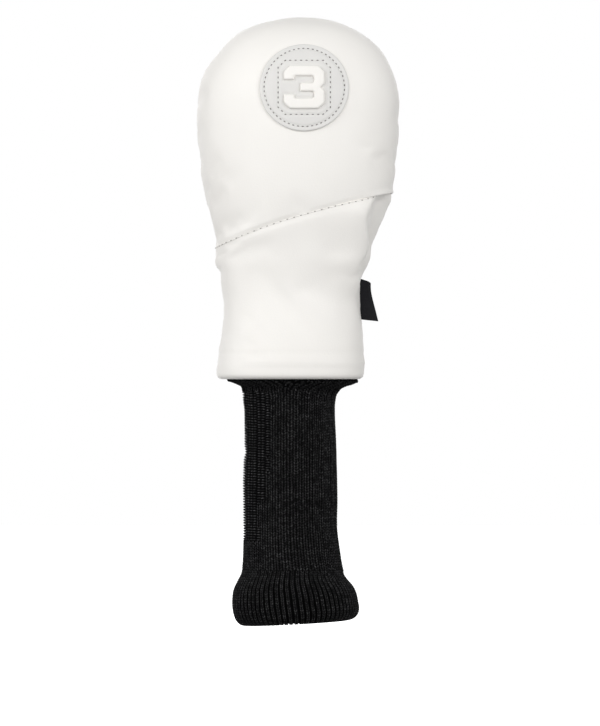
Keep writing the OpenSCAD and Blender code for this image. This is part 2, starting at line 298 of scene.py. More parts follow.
def wovenTape(name, look):
    # warp and weft cross as two sets of waves
    weave = weaveTexture
    material, tree, shader, place = startMaterial(name, look)
    waves = []
    for direction, offset in (("X", 0.0), ("Z", math.pi / 2)):
        wave = addNode(
            tree, "ShaderNodeTexWave", bands_direction=direction, wave_profile="SIN", Vector=place,
            Scale=look["threadScale"], Distortion=weave["distortion"], Phase_Offset=offset,
        )
        waves.append(wave.outputs["Fac"])
    height = combined(tree, "MAXIMUM", *waves)
    bumped(tree, shader, height, weave["depth"], weave["strength"])
    wire(tree, shader, Base_Color=mixedColour(tree, height, look["colour"], look["paler"]))
    return material


plainStrand = {"leastFibre": 0.0, "leastPatch": 0.3, "knitted": False}
threadStrand = {"fibreScale": 6000.0, "patchScale": 700.0, "sheen": 0.1, **plainStrand}
holeShadowStrand = {"fibreScale": 3000.0, "patchScale": 400.0, "sheen": 0.0, **plainStrand}
finishes = {
    "whiteShell": {
        "colour": (0.875, 0.853, 0.817), "deeper": (0.862, 0.839, 0.802), "roughness": 0.5, "shine": 0.35,
        "cloudScale": 22.0, "grainScale": 1500.0, "grainDepth": 0.05 * mm, "grainStrength": 0.5,
    },
    "greyPatch": {
        "colour": (0.725, 0.713, 0.692), "deeper": (0.705, 0.693, 0.672), "roughness": 0.55, "shine": 0.3,
        "cloudScale": 60.0, "grainScale": 1900.0, "grainDepth": 0.05 * mm, "grainStrength": 0.5,
    },
    "fleece": {
        "colour": (0.42, 0.42, 0.44), "deeper": (0.30, 0.30, 0.32), "roughness": 0.95, "sheen": 0.3,
        "tuftScale": 900.0, "tuftDetail": 4.0, "curlScale": 1440.0,
        "pileDepth": 0.5 * mm, "pileStrength": 0.9,
    },
    "knit": {
        "colour": (0.0028, 0.0028, 0.003), "paler": (0.16, 0.16, 0.163), "roughness": 0.9, "shine": 0.03,
        "fibreScale": 1900.0, "patchScale": 260.0, "sheen": 0.0, "leastFibre": 0.05, "leastPatch": 0.8,
        "knitted": True, "crestFrom": (0.0, 0.7), "crestPower": 2.0, "leastShade": 0.35,
    },
    "seamThread": {
        "colour": (0.86, 0.845, 0.81), "paler": (0.90, 0.885, 0.85), "roughness": 0.6, "shine": 0.35,
        **threadStrand,
    },
    "patchThread": {
        "colour": (0.78, 0.77, 0.75), "paler": (0.85, 0.84, 0.82), "roughness": 0.6, "shine": 0.35,
        **threadStrand,
    },
    # painted shadow: the dark colour of the needle holes stands for the shade inside them
    "seamHoleShadow": {
        "colour": (0.40, 0.385, 0.36), "paler": (0.50, 0.48, 0.45), "roughness": 0.9, "shine": 0.1,
        **holeShadowStrand,
    },
    # painted shadow: the dark colour of the patch's needle holes stands for the shade inside them
    "patchHoleShadow": {
        "colour": (0.20, 0.19, 0.185), "paler": (0.32, 0.305, 0.29), "roughness": 0.9, "shine": 0.1,
        **holeShadowStrand,
    },
    "label": {
        "colour": (0.004, 0.004, 0.0055), "paler": (0.010, 0.010, 0.012), "roughness": 0.7, "shine": 0.12,
        "threadScale": 520.0,
    },
    "elastic": {
        "colour": (0.045, 0.045, 0.048), "paler": (0.10, 0.10, 0.105), "roughness": 0.8, "shine": 0.2,
        "threadScale": 330.0,
    },
}

whiteShell = leatherette("whiteShellLeatherette", finishes["whiteShell"])
greyPatchLeather = leatherette("greyPatchLeatherette", finishes["greyPatch"])
fleecePile = fleece("liningFleece", finishes["fleece"])
blackYarn = yarn("blackKnitYarn", finishes["knit"])
seamThread = yarn("whiteSeamThread", finishes["seamThread"])
patchThread = yarn("palePatchThread", finishes["patchThread"])
seamHoleShadow = yarn("seamHoleShade", finishes["seamHoleShadow"])
patchHoleShadow = yarn("patchHoleShade", finishes["patchHoleShadow"])
labelTape = wovenTape("blackWovenTape", finishes["label"])
elasticTape = wovenTape("waistElasticTape", finishes["elastic"])
print("finishes made")

# the padded head's form is the same loft as the solids

headShape = {
    "width": 93, "depth": 64, "height": 166, "widestHeight": 120, "lean": 3.5, "peakX": 5.5,
    "seamToe": (34.2, 60.5), "seamHeel": (47, 85.5), "seamBow": 2.4, "bowReach": 2, "bowSkew": 0.35,
    "waistWidth": 62.4, "waistDepth": 48, "waistHeight": 38, "waistSlant": 9,
    "hemWidth": 68, "hemDepth": 54, "hemBand": 12, "hemRoll": 2.65, "toeHemIn": 1.2,
    "sectionPower": 2.6, "domePower": 2.3,
    "padding": 3.95, "liningTop": 4.1, "liningUnder": 6.1,
}
hem, band, waist, seam, widest, peak = 0.0, 1.0, 2.0, 4.0, 6.0, 7.0


def mix(a, b, share):
    return a + (b - a) * share


def headKnots():
    h = headShape
    toeWaist = (-h["waistWidth"] / 2, h["waistHeight"] - h["waistSlant"] / 2)
    heelWaist = (h["waistWidth"] / 2, h["waistHeight"] + h["waistSlant"] / 2)
    toeSeam, heelSeam = (-h["seamToe"][0], h["seamToe"][1]), h["seamHeel"]
    toeWide = (h["lean"] - h["width"] / 2, h["widestHeight"])
    heelWide = (h["lean"] + h["width"] / 2, h["widestHeight"])

    def between(a, b, shareX, shareZ):
        return (mix(a[0], b[0], shareX), mix(a[1], b[1], shareZ))

    toe = [
        (-h["hemWidth"] / 2, h["hemRoll"]), (h["toeHemIn"] - h["hemWidth"] / 2, h["hemBand"]), toeWaist,
        between(toeWaist, toeSeam, 0.83, 0.68), toeSeam, between(toeSeam, toeWide, 0.56, 0.43), toeWide,
    ]
    heel = [
        (h["hemWidth"] / 2, h["hemRoll"]), (h["hemWidth"] / 2, h["hemBand"]), heelWaist,
        between(heelWaist, heelSeam, 0.39, 0.36), heelSeam, between(heelSeam, heelWide, 0.6, 0.44), heelWide,
    ]
    deep = [h["hemDepth"] / 2, h["hemDepth"] / 2 - 0.4, h["waistDepth"] / 2]
    deep += [mix(h["waistDepth"], h["depth"], share) / 2 for share in (0.25, 0.65, 0.93, 1.0)]
    return np.array(toe), np.array(heel), np.array(deep)[:, None]


toeKnots, heelKnots, deepKnots = headKnots()


def knotCurve(knots, u, firstSlope, lastSlope):
    # a smooth curve through evenly spaced knots, with a given slope at either end
    slopes = np.empty_like(knots)
    slopes[1:-1] = (knots[2:] - knots[:-2]) / 2
    slopes[0], slopes[-1] = firstSlope, lastSlope
    i = np.clip(np.floor(u), 0, len(knots) - 2).astype(int)
    return cubic(knots[i], knots[i + 1], slopes[i], slopes[i + 1], (u - i)[..., None])


def railCurve(knots, u):
    # the toe or heel outline, which stands upright at both of its ends
    return knotCurve(knots, u, (0, headShape["hemBand"]), (0, headShape["widestHeight"] / 4))


def swell(c, power):
    return np.sign(c) * np.abs(c) ** (2 / power)


def headSkin(u, a):
    # a point of the bare surface in millimetres; a runs round it, and u climbs from hem to peak
    h = headShape
    u, a = np.broadcast_arrays(np.asarray(u, float), np.asarray(a, float))
    low = np.clip(u, hem, widest)
    toe, heel = railCurve(toeKnots, low), railCurve(heelKnots, low)
    deep = knotCurve(deepKnots, low, 0, 0)[..., 0]
    turn = np.clip(u - widest, 0, 1) * math.pi / 2
    rise, reach = swell(np.sin(turn), h["domePower"]), swell(np.cos(turn), h["domePower"])
    domed = u > widest
    domeX, domeZ = mix(h["lean"], h["peakX"], rise), mix(h["widestHeight"], h["height"], rise)
    middleX = np.where(domed, domeX, (toe[..., 0] + heel[..., 0]) / 2)
    middleZ = np.where(domed, domeZ, (toe[..., 1] + heel[..., 1]) / 2)
    halfX = np.where(domed, reach * h["width"] / 2, (heel[..., 0] - toe[..., 0]) / 2)
    halfZ = np.where(domed, 0, (heel[..., 1] - toe[..., 1]) / 2)
    deep = np.where(domed, reach * h["depth"] / 2, deep)
    across = swell(np.cos(a), h["sectionPower"])
    bow = h["seamBow"] * np.clip(1 - ((u - seam) / h["bowReach"]) ** 2, 0, 1) ** 2
    bow = bow * (1 - across**2) * (1 - h["bowSkew"] * across)
    y = deep * swell(np.sin(a), h["sectionPower"])
    return np.stack([middleX + halfX * across, y, middleZ + halfZ * across + bow], axis=-1)


def railAt(knots, z):
    # how far across the toe or heel outline lies at a height
    line = railCurve(knots, np.linspace(hem, widest, 801))
    return np.interp(z, line[:, 1], line[:, 0])


def headOut(u, a):
    u, a = np.broadcast_arrays(np.asarray(u, float), np.asarray(a, float))
    stepA, stepU = math.radians(1), 0.01
    beside = headSkin(u, a + stepA) - headSkin(u, a - stepA)
    climb = headSkin(np.minimum(u + stepU, peak - 1e-4), a) - headSkin(np.minimum(u, peak - 0.02) - stepU, a)
    out = unit(np.cross(beside, climb))
    return np.where((u >= peak)[..., None], np.array([0, 0, 1.0]), out)


def headUnder(u, a, depth):
    return headSkin(u, a) - headOut(u, a) * np.asarray(depth, float)[..., None]


def runAlong(line):
    # how far along a line of points, or along each column of a grid, each point lies
    steps = np.linalg.norm(np.diff(line, axis=0), axis=-1)
    return np.concatenate([np.zeros_like(steps[:1]), np.cumsum(steps, axis=0)])


# how wide the rows of faces are, from the seams inwards, in millimetres
rowSizes = {"across": (0.3, 1.7), "crown": (0.28, 1.7), "neck": (0.28, 1.5)}
# how many rows the other parts of the neck's panels have
rowCounts = {"hemBand": 16, "underWaist": 18, "roll": 13, "turnedIn": 9, "back": 22}


def arcAngles(side):
    # angles from one side seam to the other, close together at the seams; side is -1 for the front
    sample = np.radians(np.linspace(0, 180, 1441))
    run = runAlong(headSkin(widest, sample))
    a = np.interp(gradedSteps(run[-1], *rowSizes["across"], bothEnds=True), run, sample)
    return a if side > 0 else a + math.pi


def arcPlaces(low, high, finest, coarsest, fromTop=False):
    # places from low to high, close together at low, or at high when fromTop is set
    sample = np.linspace(low, high, 1201)
    run = runAlong(headSkin(sample, math.radians(270)))
    steps = gradedSteps(run[-1], finest, coarsest)
    if fromTop:
        steps = run[-1] - steps[::-1]
    return np.interp(steps, run, sample)


# the filled shell swells in a cloth simulation

swelling = {"gap": 2.6, "frames": 20, "cap": 1.5, "keep": 0.85, "seamHalf": 1.3, "hemPlaces": 0.3}
# the cloth's own settings; a shrink below nothing makes it grow
swellingCloth = {
    "quality": 6, "mass": 0.2, "tension_stiffness": 20, "compression_stiffness": 20,
    "bending_stiffness": 1.5, "shrink_min": -0.012, "use_pressure": True, "uniform_pressure_force": 3.0,
    "vertex_group_mass": "seams",
}


def simulateSwelling():
    s = swelling
    sample = np.radians(np.linspace(0, 360, 2881))
    run = runAlong(headSkin(widest, sample))
    count = 2 * int(run[-1] / s["gap"] / 2)
    angles = np.interp(np.arange(count) * run[-1] / count, run, sample)
    places = arcPlaces(hem, peak - 0.02, s["gap"], s["gap"] * 1.01)
    places[np.argmin(np.abs(places - seam))] = seam
    cagePoints = headSkin(places[:, None], angles[None, :])
    points = np.concatenate([cagePoints.reshape(-1, 3), [[headShape["peakX"], 0, headShape["height"]]]]) * mm
    faces = gridFaces(len(places), count, ringed=True)
    faces += fanFaces((len(places) - 1) * count, count, len(points) - 1)
    cage = meshObject("shellCage", points, faces)
    # the side seams, the slanted seam, the hem and the peak are held
    held = np.abs(cagePoints[..., 1]) < s["seamHalf"]
    held |= (np.abs(places - seam) < 1e-6)[:, None] | (places < s["hemPlaces"])[:, None]
    seams = cage.vertex_groups.new(name="seams")
    seams.add([int(i) for i in np.flatnonzero(held.reshape(-1))] + [len(points) - 1], 1.0, "REPLACE")
    cloth = cage.modifiers.new("swell", "CLOTH")
    for key, value in swellingCloth.items():
        setattr(cloth.settings, key, value)
    cloth.settings.effector_weights.gravity = 0
    cloth.point_cache.frame_end = s["frames"]
    for frameNumber in range(1, s["frames"] + 1):
        scene.frame_set(frameNumber)
    result = cage.evaluated_get(bpy.context.evaluated_depsgraph_get()).to_mesh()
    moved = np.empty(len(points) * 3, dtype=np.float32)
    result.vertices.foreach_get("co", moved)
    shift = (moved.reshape(-1, 3) - points)[:-1].reshape(len(places), count, 3) / mm
    scene.frame_set(1)
    bpy.data.objects.remove(cage)
    length = np.linalg.norm(shift, axis=-1, keepdims=True)
    shift = shift * s["keep"] * s["cap"] * np.tanh(length / s["cap"]) / np.maximum(length, 1e-6)
    print("shell swelled by up to", round(float(length.max()), 2), "mm, kept under", s["cap"])
    return places, angles, shift


swelled = simulateSwelling()


def swelledBy(u, a):
    # the simulated shift at any place, read between its four nearest points
    if swelled is None:
        return np.zeros((*np.broadcast(u, a).shape, 3))
    places, angles, shift = swelled
    u, a = np.broadcast_arrays(u, np.mod(a, 2 * math.pi))
    row = np.interp(u, places, np.arange(len(places)))
    column = np.interp(a, np.append(angles, 2 * math.pi), np.arange(len(angles) + 1))
    i = np.clip(np.floor(row), 0, len(places) - 2).astype(int)
    j = np.floor(column).astype(int) % len(angles)
    k = (j + 1) % len(angles)
    s, t = (row - i)[..., None], (column - np.floor(column))[..., None]
    here, beside = mix(shift[i, j], shift[i + 1, j], s), mix(shift[i, k], shift[i + 1, k], s)
    return mix(here, beside, t)


# relief of the shell: seams, folds and puckers

shellRelief = {
    "sideGroove": 1.0, "sideReach": 2.8, "edgeRadius": 1.0, "seamGroove": 0.07, "lipReach": 1.8,
    "proudHeel": 1.0, "proudOutline": 0.8, "proudFrom": (-0.2, -0.02), "frontReach": 6, "tuck": 1.0,
    "pucker": 0.12, "sidePeriod": 6.5, "sidePucker": 4, "sideSlant": 0.6,
    "seamPeriod": 5.4, "seamPucker": 3.8, "seamSlant": 0.3,
    "waviness": 0.3, "wavePeriod": 31, "waveReach": 16, "waveHeights": (14, 40),
    "softFold": 0.1, "foldPeriod": 23, "foldSlant": 0.25, "foldFrom": (14, 30), "foldTo": (55, 75),
    "neckCalm": 0.45, "calmPlaces": (3.2, 4.6),
}
# the turned hem: a sewn groove, a soft roll under it, and a pinch at both side seams
hemRelief = {
    "groove": 0.14, "grooveReach": 1.1, "roll": 0.12, "rollHeight": 7, "rollReach": 3.2,
    "pinch": 0.3, "pinchWide": 7, "pinchHigh": 2.4,
}
# folds beside the heel: one crest as (height, distance from the centre), with a hollow facet above
# and one below
heelFold = {
    "crest": [
        (34, 29), (48, 29.8), (51, 30.1), (54, 31), (58, 33.2), (63, 34.3), (66, 34.1), (72.5, 33.2),
        (78.5, 35), (84, 39),
    ],
    "low": 34, "high": 87, "fade": 12, "ridge": 2.8, "soft": 9, "backShare": 0.65,
    "facetFrom": 0.15, "facetPower": 1.5, "facetScale": 5.4,
}
heelFacets = [
    {"low": 55, "high": 87, "fade": 7, "hollow": 4.2},
    {"low": 43, "high": 61, "fade": 6, "hollow": 3.0},
]
# how far the outline strays from the plain loft: by height on the toe and heel sides, and by angle
# round the crown's dome
outlineDrift = {
    "toe": [
        (0, 0), (5, -0.3), (12, 0.3), (18, -0.4), (38, -0.35), (43, -0.35), (46, -0.85), (49.2, -1.5),
        (51.2, -0.2), (58, 0), (64, -1.0), (80, -0.4), (91, 0.9), (103, 0), (119, -0.5),
    ],
    "heel": [
        (0, 0), (12, 0.1), (22, 0.6), (32, 1.0), (45, 0.9), (51, 1.25), (55, 0.65), (60, -1.2), (66, -1.1),
        (70, -0.6), (75, 0.1), (83, 0.3), (89, -0.9), (95, -0.4), (105, -0.1), (119, 0.1),
    ],
    "crown": [
        (0, 0.1), (20, -0.3), (42, -0.7), (60, -1.1), (78, -0.2), (90, 0), (105, -0.7), (121, 0),
        (138, -0.8), (160, 0.5), (172, -0.3), (180, -0.5),
    ],
    "reach": 11,
}


def roundedEdge(distance, reach, depth):
    s = 1 - np.clip(distance / reach, 0, 1)
    return -depth * (1 - np.sqrt(np.maximum(0, 1 - s * s)))


def sideSeamRelief(point):
    r = shellRelief
    side, along = np.abs(point[..., 1]), point[..., 2] + r["sideSlant"] * point[..., 0]
    groove = roundedEdge(side, r["sideReach"], r["sideGroove"])
    pucker = r["pucker"] * wander(along, r["sidePeriod"], 3) * np.exp(-side / r["sidePucker"])
    wave = r["waviness"] * wander(along, r["wavePeriod"], 8) * np.exp(-side / r["waveReach"])
    return groove + pucker + wave * ramp(point[..., 2], *r["waveHeights"])


def driftRelief(point):
    x, y, z = np.moveaxis(point, -1, 0)
    d, h = outlineDrift, headShape
    beside = np.where(x < h["lean"], easedCurve(d["toe"], z), easedCurve(d["heel"], z))
    angle = np.degrees(np.arctan2(np.maximum(z - h["widestHeight"], 0), x - h["lean"]))
    return np.where(z < h["widestHeight"], beside, easedCurve(d["crown"], angle)) * bell(y, d["reach"])


def seamPucker(point, toSeam):
    r = shellRelief
    along = point[..., 0] + r["seamSlant"] * point[..., 1]
    return r["pucker"] * wander(along, r["seamPeriod"], 5) * np.exp(-toSeam / r["seamPucker"])


def nearHeel(point):
    fromSeam = (point[..., 0] - headShape["seamHeel"][0]) / headShape["width"]
    return ramp(fromSeam, *shellRelief["proudFrom"])


def facingFront(point):
    # 0 at the outline and 1 on the front and back
    return 1 - bell(point[..., 1], shellRelief["frontReach"])


def crownRelief(point, toSeam):
    r = shellRelief
    proud = nearHeel(point) * mix(r["proudOutline"], r["proudHeel"], facingFront(point))
    lip = proud * bell(toSeam, r["lipReach"])
    lip = lip + roundedEdge(toSeam, r["edgeRadius"], proud / 2 + r["seamGroove"])
    return driftRelief(point) + sideSeamRelief(point) + lip + seamPucker(point, toSeam)


def within(z, band):
    rise = ramp(z, band["low"], band["low"] + band["fade"])
    return rise * (1 - ramp(z, band["high"] - band["fade"], band["high"]))


def foldRelief(point):
    # a crest with a soft front slope, and behind it flat facets that run to the heel outline
    x, z = point[..., 0], point[..., 2]
    fold, power = heelFold, headShape["sectionPower"]
    crest = easedCurve(fold["crest"], z)
    toe, heel = railAt(toeKnots, z), railAt(heelKnots, z)

    def roundFromHeel(where):
        across = np.clip((2 * where - toe - heel) / (heel - toe), 0, 1)
        return (1 - across**power) ** (1 / power)

    # share is 0 at the heel outline and 1 at the crest; a facet's hollow is deepest between them
    share = roundFromHeel(x) / np.maximum(roundFromHeel(crest), 0.05)
    ridge = np.where(share < 1, share**3, bell(x - crest, fold["soft"]))
    across = np.clip((share - fold["facetFrom"]) / (1 - fold["facetFrom"]), 0, 1)
    hollow = fold["facetScale"] * across ** fold["facetPower"] * (1 - across)
    hollow = hollow * sum(facet["hollow"] * within(z, facet) for facet in heelFacets)
    turned = np.where(point[..., 1] < 0, 1.0, fold["backShare"])
    return turned * (fold["ridge"] * ridge * within(z, fold) - hollow)


def neckRelief(point, toSeam):
    r, e = shellRelief, hemRelief
    x, y, z = np.moveaxis(point, -1, 0)
    toHem = z - headShape["hemBand"]
    tucked = roundedEdge(toSeam, r["edgeRadius"], r["seamGroove"])
    tucked = tucked - r["tuck"] * nearHeel(point) * facingFront(point) * bell(toSeam, r["lipReach"])
    hemLine = e["roll"] * bell(z - e["rollHeight"], e["rollReach"])
    hemLine = hemLine - e["groove"] * bell(toHem, e["grooveReach"])
    pinch = e["pinch"] * bell(y, e["pinchWide"]) * bell(toHem, e["pinchHigh"])
    slack = r["softFold"] * wander(x + r["foldSlant"] * z, r["foldPeriod"], 11)
    slack = slack * ramp(z, *r["foldFrom"]) * (1 - ramp(z, *r["foldTo"]))
    plain = driftRelief(point) + sideSeamRelief(point) + seamPucker(point, toSeam)
    return plain + tucked + foldRelief(point) + hemLine - pinch + slack


def shellPoint(u, a, relief, toSeam):
    # the neck swells less than the crown
    r, bare = shellRelief, headSkin(u, a)
    share = mix(r["neckCalm"], 1, ramp(u, *r["calmPlaces"]))[..., None]
    return bare + headOut(u, a) * relief(bare, toSeam)[..., None] + swelledBy(u, a) * share


def distanceFromSeam(places, angles):
    run = runAlong(headSkin(places[:, None], angles[None, :]))
    return run[-1] - run if places[-1] <= seam + 1e-9 else run


def panelSolid(name, loop, material):
    # loop is a closed profile at every column; the first and last columns are capped
    count, columns = loop.shape[:2]
    faces = gridFaces(count, columns, looped=True)
    faces.append([i * columns for i in range(count)])
    faces.append([i * columns + columns - 1 for i in reversed(range(count))])
    piece = meshObject(name, loop * mm, faces, material)
    closeSolid(piece)
    return piece


def crownPanel(name, side):
    angles = arcAngles(side)
    places = arcPlaces(seam, peak, *rowSizes["crown"])
    places[-1] = peak
    toSeam = distanceFromSeam(places, angles)
    grid = places[:, None], angles[None, :]
    outer = shellPoint(*grid, crownRelief, toSeam)
    outer[-1] = outer[-1].mean(axis=0)
    return panelSolid(name, np.concatenate([outer, headUnder(*grid, headShape["padding"])[::-1]]), whiteShell)


def neckPanel(name, side):
    # down the outside, round the hem's roll, and up the inside to the seam
    h, rows = headShape, rowCounts
    angles = arcAngles(side)
    across = angles[None, :]
    places = np.unique(np.concatenate([
        arcPlaces(waist, seam, *rowSizes["neck"], fromTop=True), np.linspace(hem, band, rows["hemBand"]),
        np.linspace(band, waist, rows["underWaist"]),
    ]))
    outer = shellPoint(places[:, None], across, neckRelief, distanceFromSeam(places, angles))
    hemPoint, hemOut = headSkin(hem, angles), headOut(hem, angles)
    middle = hemPoint - hemOut * h["hemRoll"]
    turns = np.radians(np.linspace(0, 180, rows["roll"]))[1:-1, None, None]
    share, drop = np.cos(turns), np.sin(turns) * (0, 0, -1.0)
    # the relief of the lowest row fades out over the roll
    fading = (outer[0] - hemPoint) * (0.5 + 0.5 * share)
    roll = middle + h["hemRoll"] * (hemOut * share + drop) + fading
    inside = headUnder(np.linspace(hem, band, rows["turnedIn"])[:, None], across, 2 * h["hemRoll"])
    # the padding starts just above the band
    backPlaces = np.concatenate([[band + 0.02], np.linspace(band + 0.15, seam, rows["back"])])
    back = headUnder(backPlaces[:, None], across, h["padding"])
    return panelSolid(name, np.concatenate([outer[::-1], roll, inside, back]), whiteShell)


shellPanels = {}
for name, build, side, nodes in (
    ("crownFrontPanel", crownPanel, -1, ("crown_front", "crown_foam_front")),
    ("crownBackPanel", crownPanel, 1, ("crown_back", "crown_foam_back")),
    ("neckFrontPanel", neckPanel, -1, ("neck_front", "neck_foam_front")),
    ("neckBackPanel", neckPanel, 1, ("neck_back", "neck_foam_back")),
):
    panel = shellPanels[name] = build(name, side)
    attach(panel, "head")
    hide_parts(*nodes)
print("shell panels made:", sum(len(p.data.polygons) for p in shellPanels.values()), "faces")

# fleece lining and waist elastic, inside the shell

innerLayers = {
    "pile": 0.22, "tuftHigh": 0.311765, "tuftWide": 0.136667, "elasticDepth": 6.25, "elasticThickness": 1.0,
    "elasticHalf": 0.4, "channels": 5, "channelDepth": 0.16,
}


def liningPanel(name, side):
    # the tufts of its pile stand into the pocket
    h, part = headShape, innerLayers
    places = np.concatenate([np.linspace(band, seam, 34), np.linspace(seam, peak, 50)[1:]])[:, None]
    angles = arcAngles(side)[::2][None, :]
    tufts = wander(places, part["tuftHigh"], 21) * wander(angles, part["tuftWide"], 22)
    outer = headUnder(places, angles, h["liningTop"])
    inner = headUnder(places, angles, h["liningUnder"] + part["pile"] * tufts)
    inner[-1] = inner[-1].mean(axis=0)
    return panelSolid(name, np.concatenate([outer, inner[::-1]]), fleecePile)


for name, side, node in (("liningFrontFleece", -1, "lining_front"), ("liningBackFleece", 1, "lining_back")):
    lining = liningPanel(name, side)
    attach(lining, "head")
    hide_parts(node)


def ringSolid(name, loop, material):
    # loop is a closed profile, repeated all the way round
    piece = meshObject(name, loop * mm, gridFaces(*loop.shape[:2], ringed=True, looped=True), material)
    closeSolid(piece)
    return piece


def makeWaistElastic():
    # a band with sewn channels round it
    part = innerLayers
    angles = np.radians(np.arange(0, 360, 2.5))[None, :]
    places = np.linspace(waist - part["elasticHalf"], waist + part["elasticHalf"], 31)[:, None]
    waves = np.cos(np.linspace(0, 2 * math.pi * part["channels"], 31))[:, None] * np.ones(angles.shape)
    depth = part["elasticDepth"] + part["channelDepth"] * waves
    outer = headUnder(places, angles, depth + part["channelDepth"])
    inner = headUnder(places, angles, depth + part["elasticThickness"])
    return ringSolid("waistElasticBand", np.concatenate([outer, inner[::-1]]), elasticTape)


elasticBand = makeWaistElastic()
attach(elasticBand, "head")
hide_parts("waist_elastic")
print("lining and elastic made")

# one tree lays stitches along any path

stitchShape = {"points": 6, "sides": 6, "taper": 0.7}


def startTree(name, sockets):
    tree = bpy.data.node_groups.new(name, "GeometryNodeTree")
    tree.interface.new_socket("Geometry", in_out="INPUT", socket_type="NodeSocketGeometry")
    for label, kind in sockets:
        tree.interface.new_socket(label, in_out="INPUT", socket_type=kind)
    tree.interface.new_socket("Geometry", in_out="OUTPUT", socket_type="NodeSocketGeometry")
    return tree, addNode(tree, "NodeGroupInput").outputs, addNode(tree, "NodeGroupOutput").inputs["Geometry"]


def taperedStrand(tree, curve, thickness, shape):
    # a strand of yarn that narrows towards both ends
    along = made(tree, "GeometryNodeSplineParameter")
    fromMiddle = combined(tree, "ABSOLUTE", combined(tree, "MULTIPLY_ADD", along, 2.0, -1.0))
    narrowing = combined(tree, "MULTIPLY", combined(tree, "POWER", fromMiddle, 3.0), shape["taper"])
    radius = combined(tree, "SUBTRACT", 1.0, narrowing)
    rounded = made(tree, "GeometryNodeSetCurveRadius", Curve=curve, Radius=radius)
    half = combined(tree, "MULTIPLY", thickness, 0.5)
    section = made(tree, "GeometryNodeCurvePrimitiveCircle", Resolution=shape["sides"], Radius=half)
    strand = addNode(tree, "GeometryNodeCurveToMesh", Curve=rounded, Profile_Curve=section, Fill_Caps=True)
    if "Scale" in strand.inputs:  # some versions take the radius only through this input
        wire(tree, strand, Scale=made(tree, "GeometryNodeInputRadius"))
    # how far each point stands out of the fabric, in yarn thicknesses, kept for the knit finish, which paints
    # a highlight on the crests
    place = made(tree, "GeometryNodeInputPosition")
    apart = addNode(tree, "ShaderNodeSeparateXYZ", Vector=place).outputs["Y"]
    return made(
        tree, "GeometryNodeStoreNamedAttribute", data_type="FLOAT", domain="POINT", Name="crest",
        Geometry=strand.outputs["Mesh"], Value=combined(tree, "DIVIDE", apart, thickness),
    )


def finishTree(tree, instances, material, out):
    real = made(tree, "GeometryNodeRealizeInstances", Geometry=instances)
    smooth = made(tree, "GeometryNodeSetShadeSmooth", Geometry=real)
    feed(tree, out, made(tree, "GeometryNodeSetMaterial", Geometry=smooth, Material=material))


def vectorOf(tree, x, y, z):
    return made(tree, "ShaderNodeCombineXYZ", x, y, z)


def makeStitchTree():
    # one stitch at every step along a path, turned to run with it
    tree, given, out = startTree("stitchRow", [
        ("Pitch", "NodeSocketFloat"), ("Shift", "NodeSocketFloat"), ("Stitch Length", "NodeSocketFloat"),
        ("Thread Thickness", "NodeSocketFloat"), ("Thread", "NodeSocketMaterial"),
    ])
    path = made(tree, "GeometryNodeMeshToCurve", Mesh=given["Geometry"])
    spaced = made(tree, "GeometryNodeResampleCurve", mode="LENGTH", Curve=path, Length=given["Pitch"])
    half = combined(tree, "MULTIPLY", given["Stitch Length"], 0.5)
    start, end = vectorOf(tree, 0, 0, combined(tree, "MULTIPLY", half, -1.0)), vectorOf(tree, 0, 0, half)
    line = made(tree, "GeometryNodeCurvePrimitiveLine", Start=start, End=end)
    line = made(tree, "GeometryNodeResampleCurve", Curve=line, Count=stitchShape["points"])
    stitch = taperedStrand(tree, line, given["Thread Thickness"], stitchShape)
    tangent = made(tree, "GeometryNodeInputTangent")
    turned = made(tree, "FunctionNodeAlignRotationToVector", axis="Z", Vector=tangent)
    placed = made(tree, "GeometryNodeInstanceOnPoints", Points=spaced, Instance=stitch, Rotation=turned)
    shift = vectorOf(tree, 0, 0, given["Shift"])
    shifted = made(tree, "GeometryNodeTranslateInstances", Instances=placed, Translation=shift)
    finishTree(tree, shifted, given["Thread"], out)
    return tree


def plainMesh(source):
    # what a helper looks like once its modifiers have run; the helper goes
    graph = bpy.context.evaluated_depsgraph_get()
    mesh = bpy.data.meshes.new_from_object(source.evaluated_get(graph), depsgraph=graph)
    bpy.data.objects.remove(source)
    return mesh


def grown(name, source, tree, values):
    # run a tree on a helper and keep its result
    modifier = source.modifiers.new("pattern", "NODES")
    modifier.node_group = tree
    for item in tree.interface.items_tree:
        if item.item_type == "SOCKET" and item.in_out == "INPUT" and item.name in values:
            modifier[item.identifier] = values[item.name]
    mesh = plainMesh(source)
    mesh.name = name
    return linkObject(name, mesh)


stitchTree = makeStitchTree()


def sewRow(name, paths, look, thread, shift):
    # stitches along every path; shift moves them on by a share of the pitch
    points, edges = [], []
    for path in paths:
        start = len(points)
        points += (np.asarray(path) * mm).tolist()
        edges += [(start + i, start + i + 1) for i in range(len(path) - 1)]
    mesh = bpy.data.meshes.new(name + "Path")
    mesh.from_pydata(points, edges, [])
    return grown(name, linkObject(name + "Path", mesh), stitchTree, {
        "Pitch": look["pitch"] * mm, "Shift": shift * look["pitch"] * mm,
        "Stitch Length": look["length"] * mm, "Thread Thickness": look["thickness"] * mm, "Thread": thread,
    })


# white thread, and between every two stitches a dark bead of painted shadow where the needle hole is
seamStitches = {"pitch": 3.25, "length": 2.3, "thickness": 0.5, "below": 0.3, "lift": 0.1}
seamHoleShadows = {"pitch": 3.25, "length": 0.9, "thickness": 0.5, "lift": 0.1}


def seamPath(lift):
    # the row lies on the neck, a little below the crown's edge
    part, step = seamStitches, 0.02
    angles = np.radians(np.linspace(0.0, 360.0, 721)) + 0.001
    perStep = np.linalg.norm(headSkin(seam, angles) - headSkin(seam - step, angles), axis=-1) / step
    places = seam - part["below"] / perStep
    away = np.full(angles.shape, part["below"])
    return shellPoint(places, angles, neckRelief, away) + headOut(places, angles) * lift


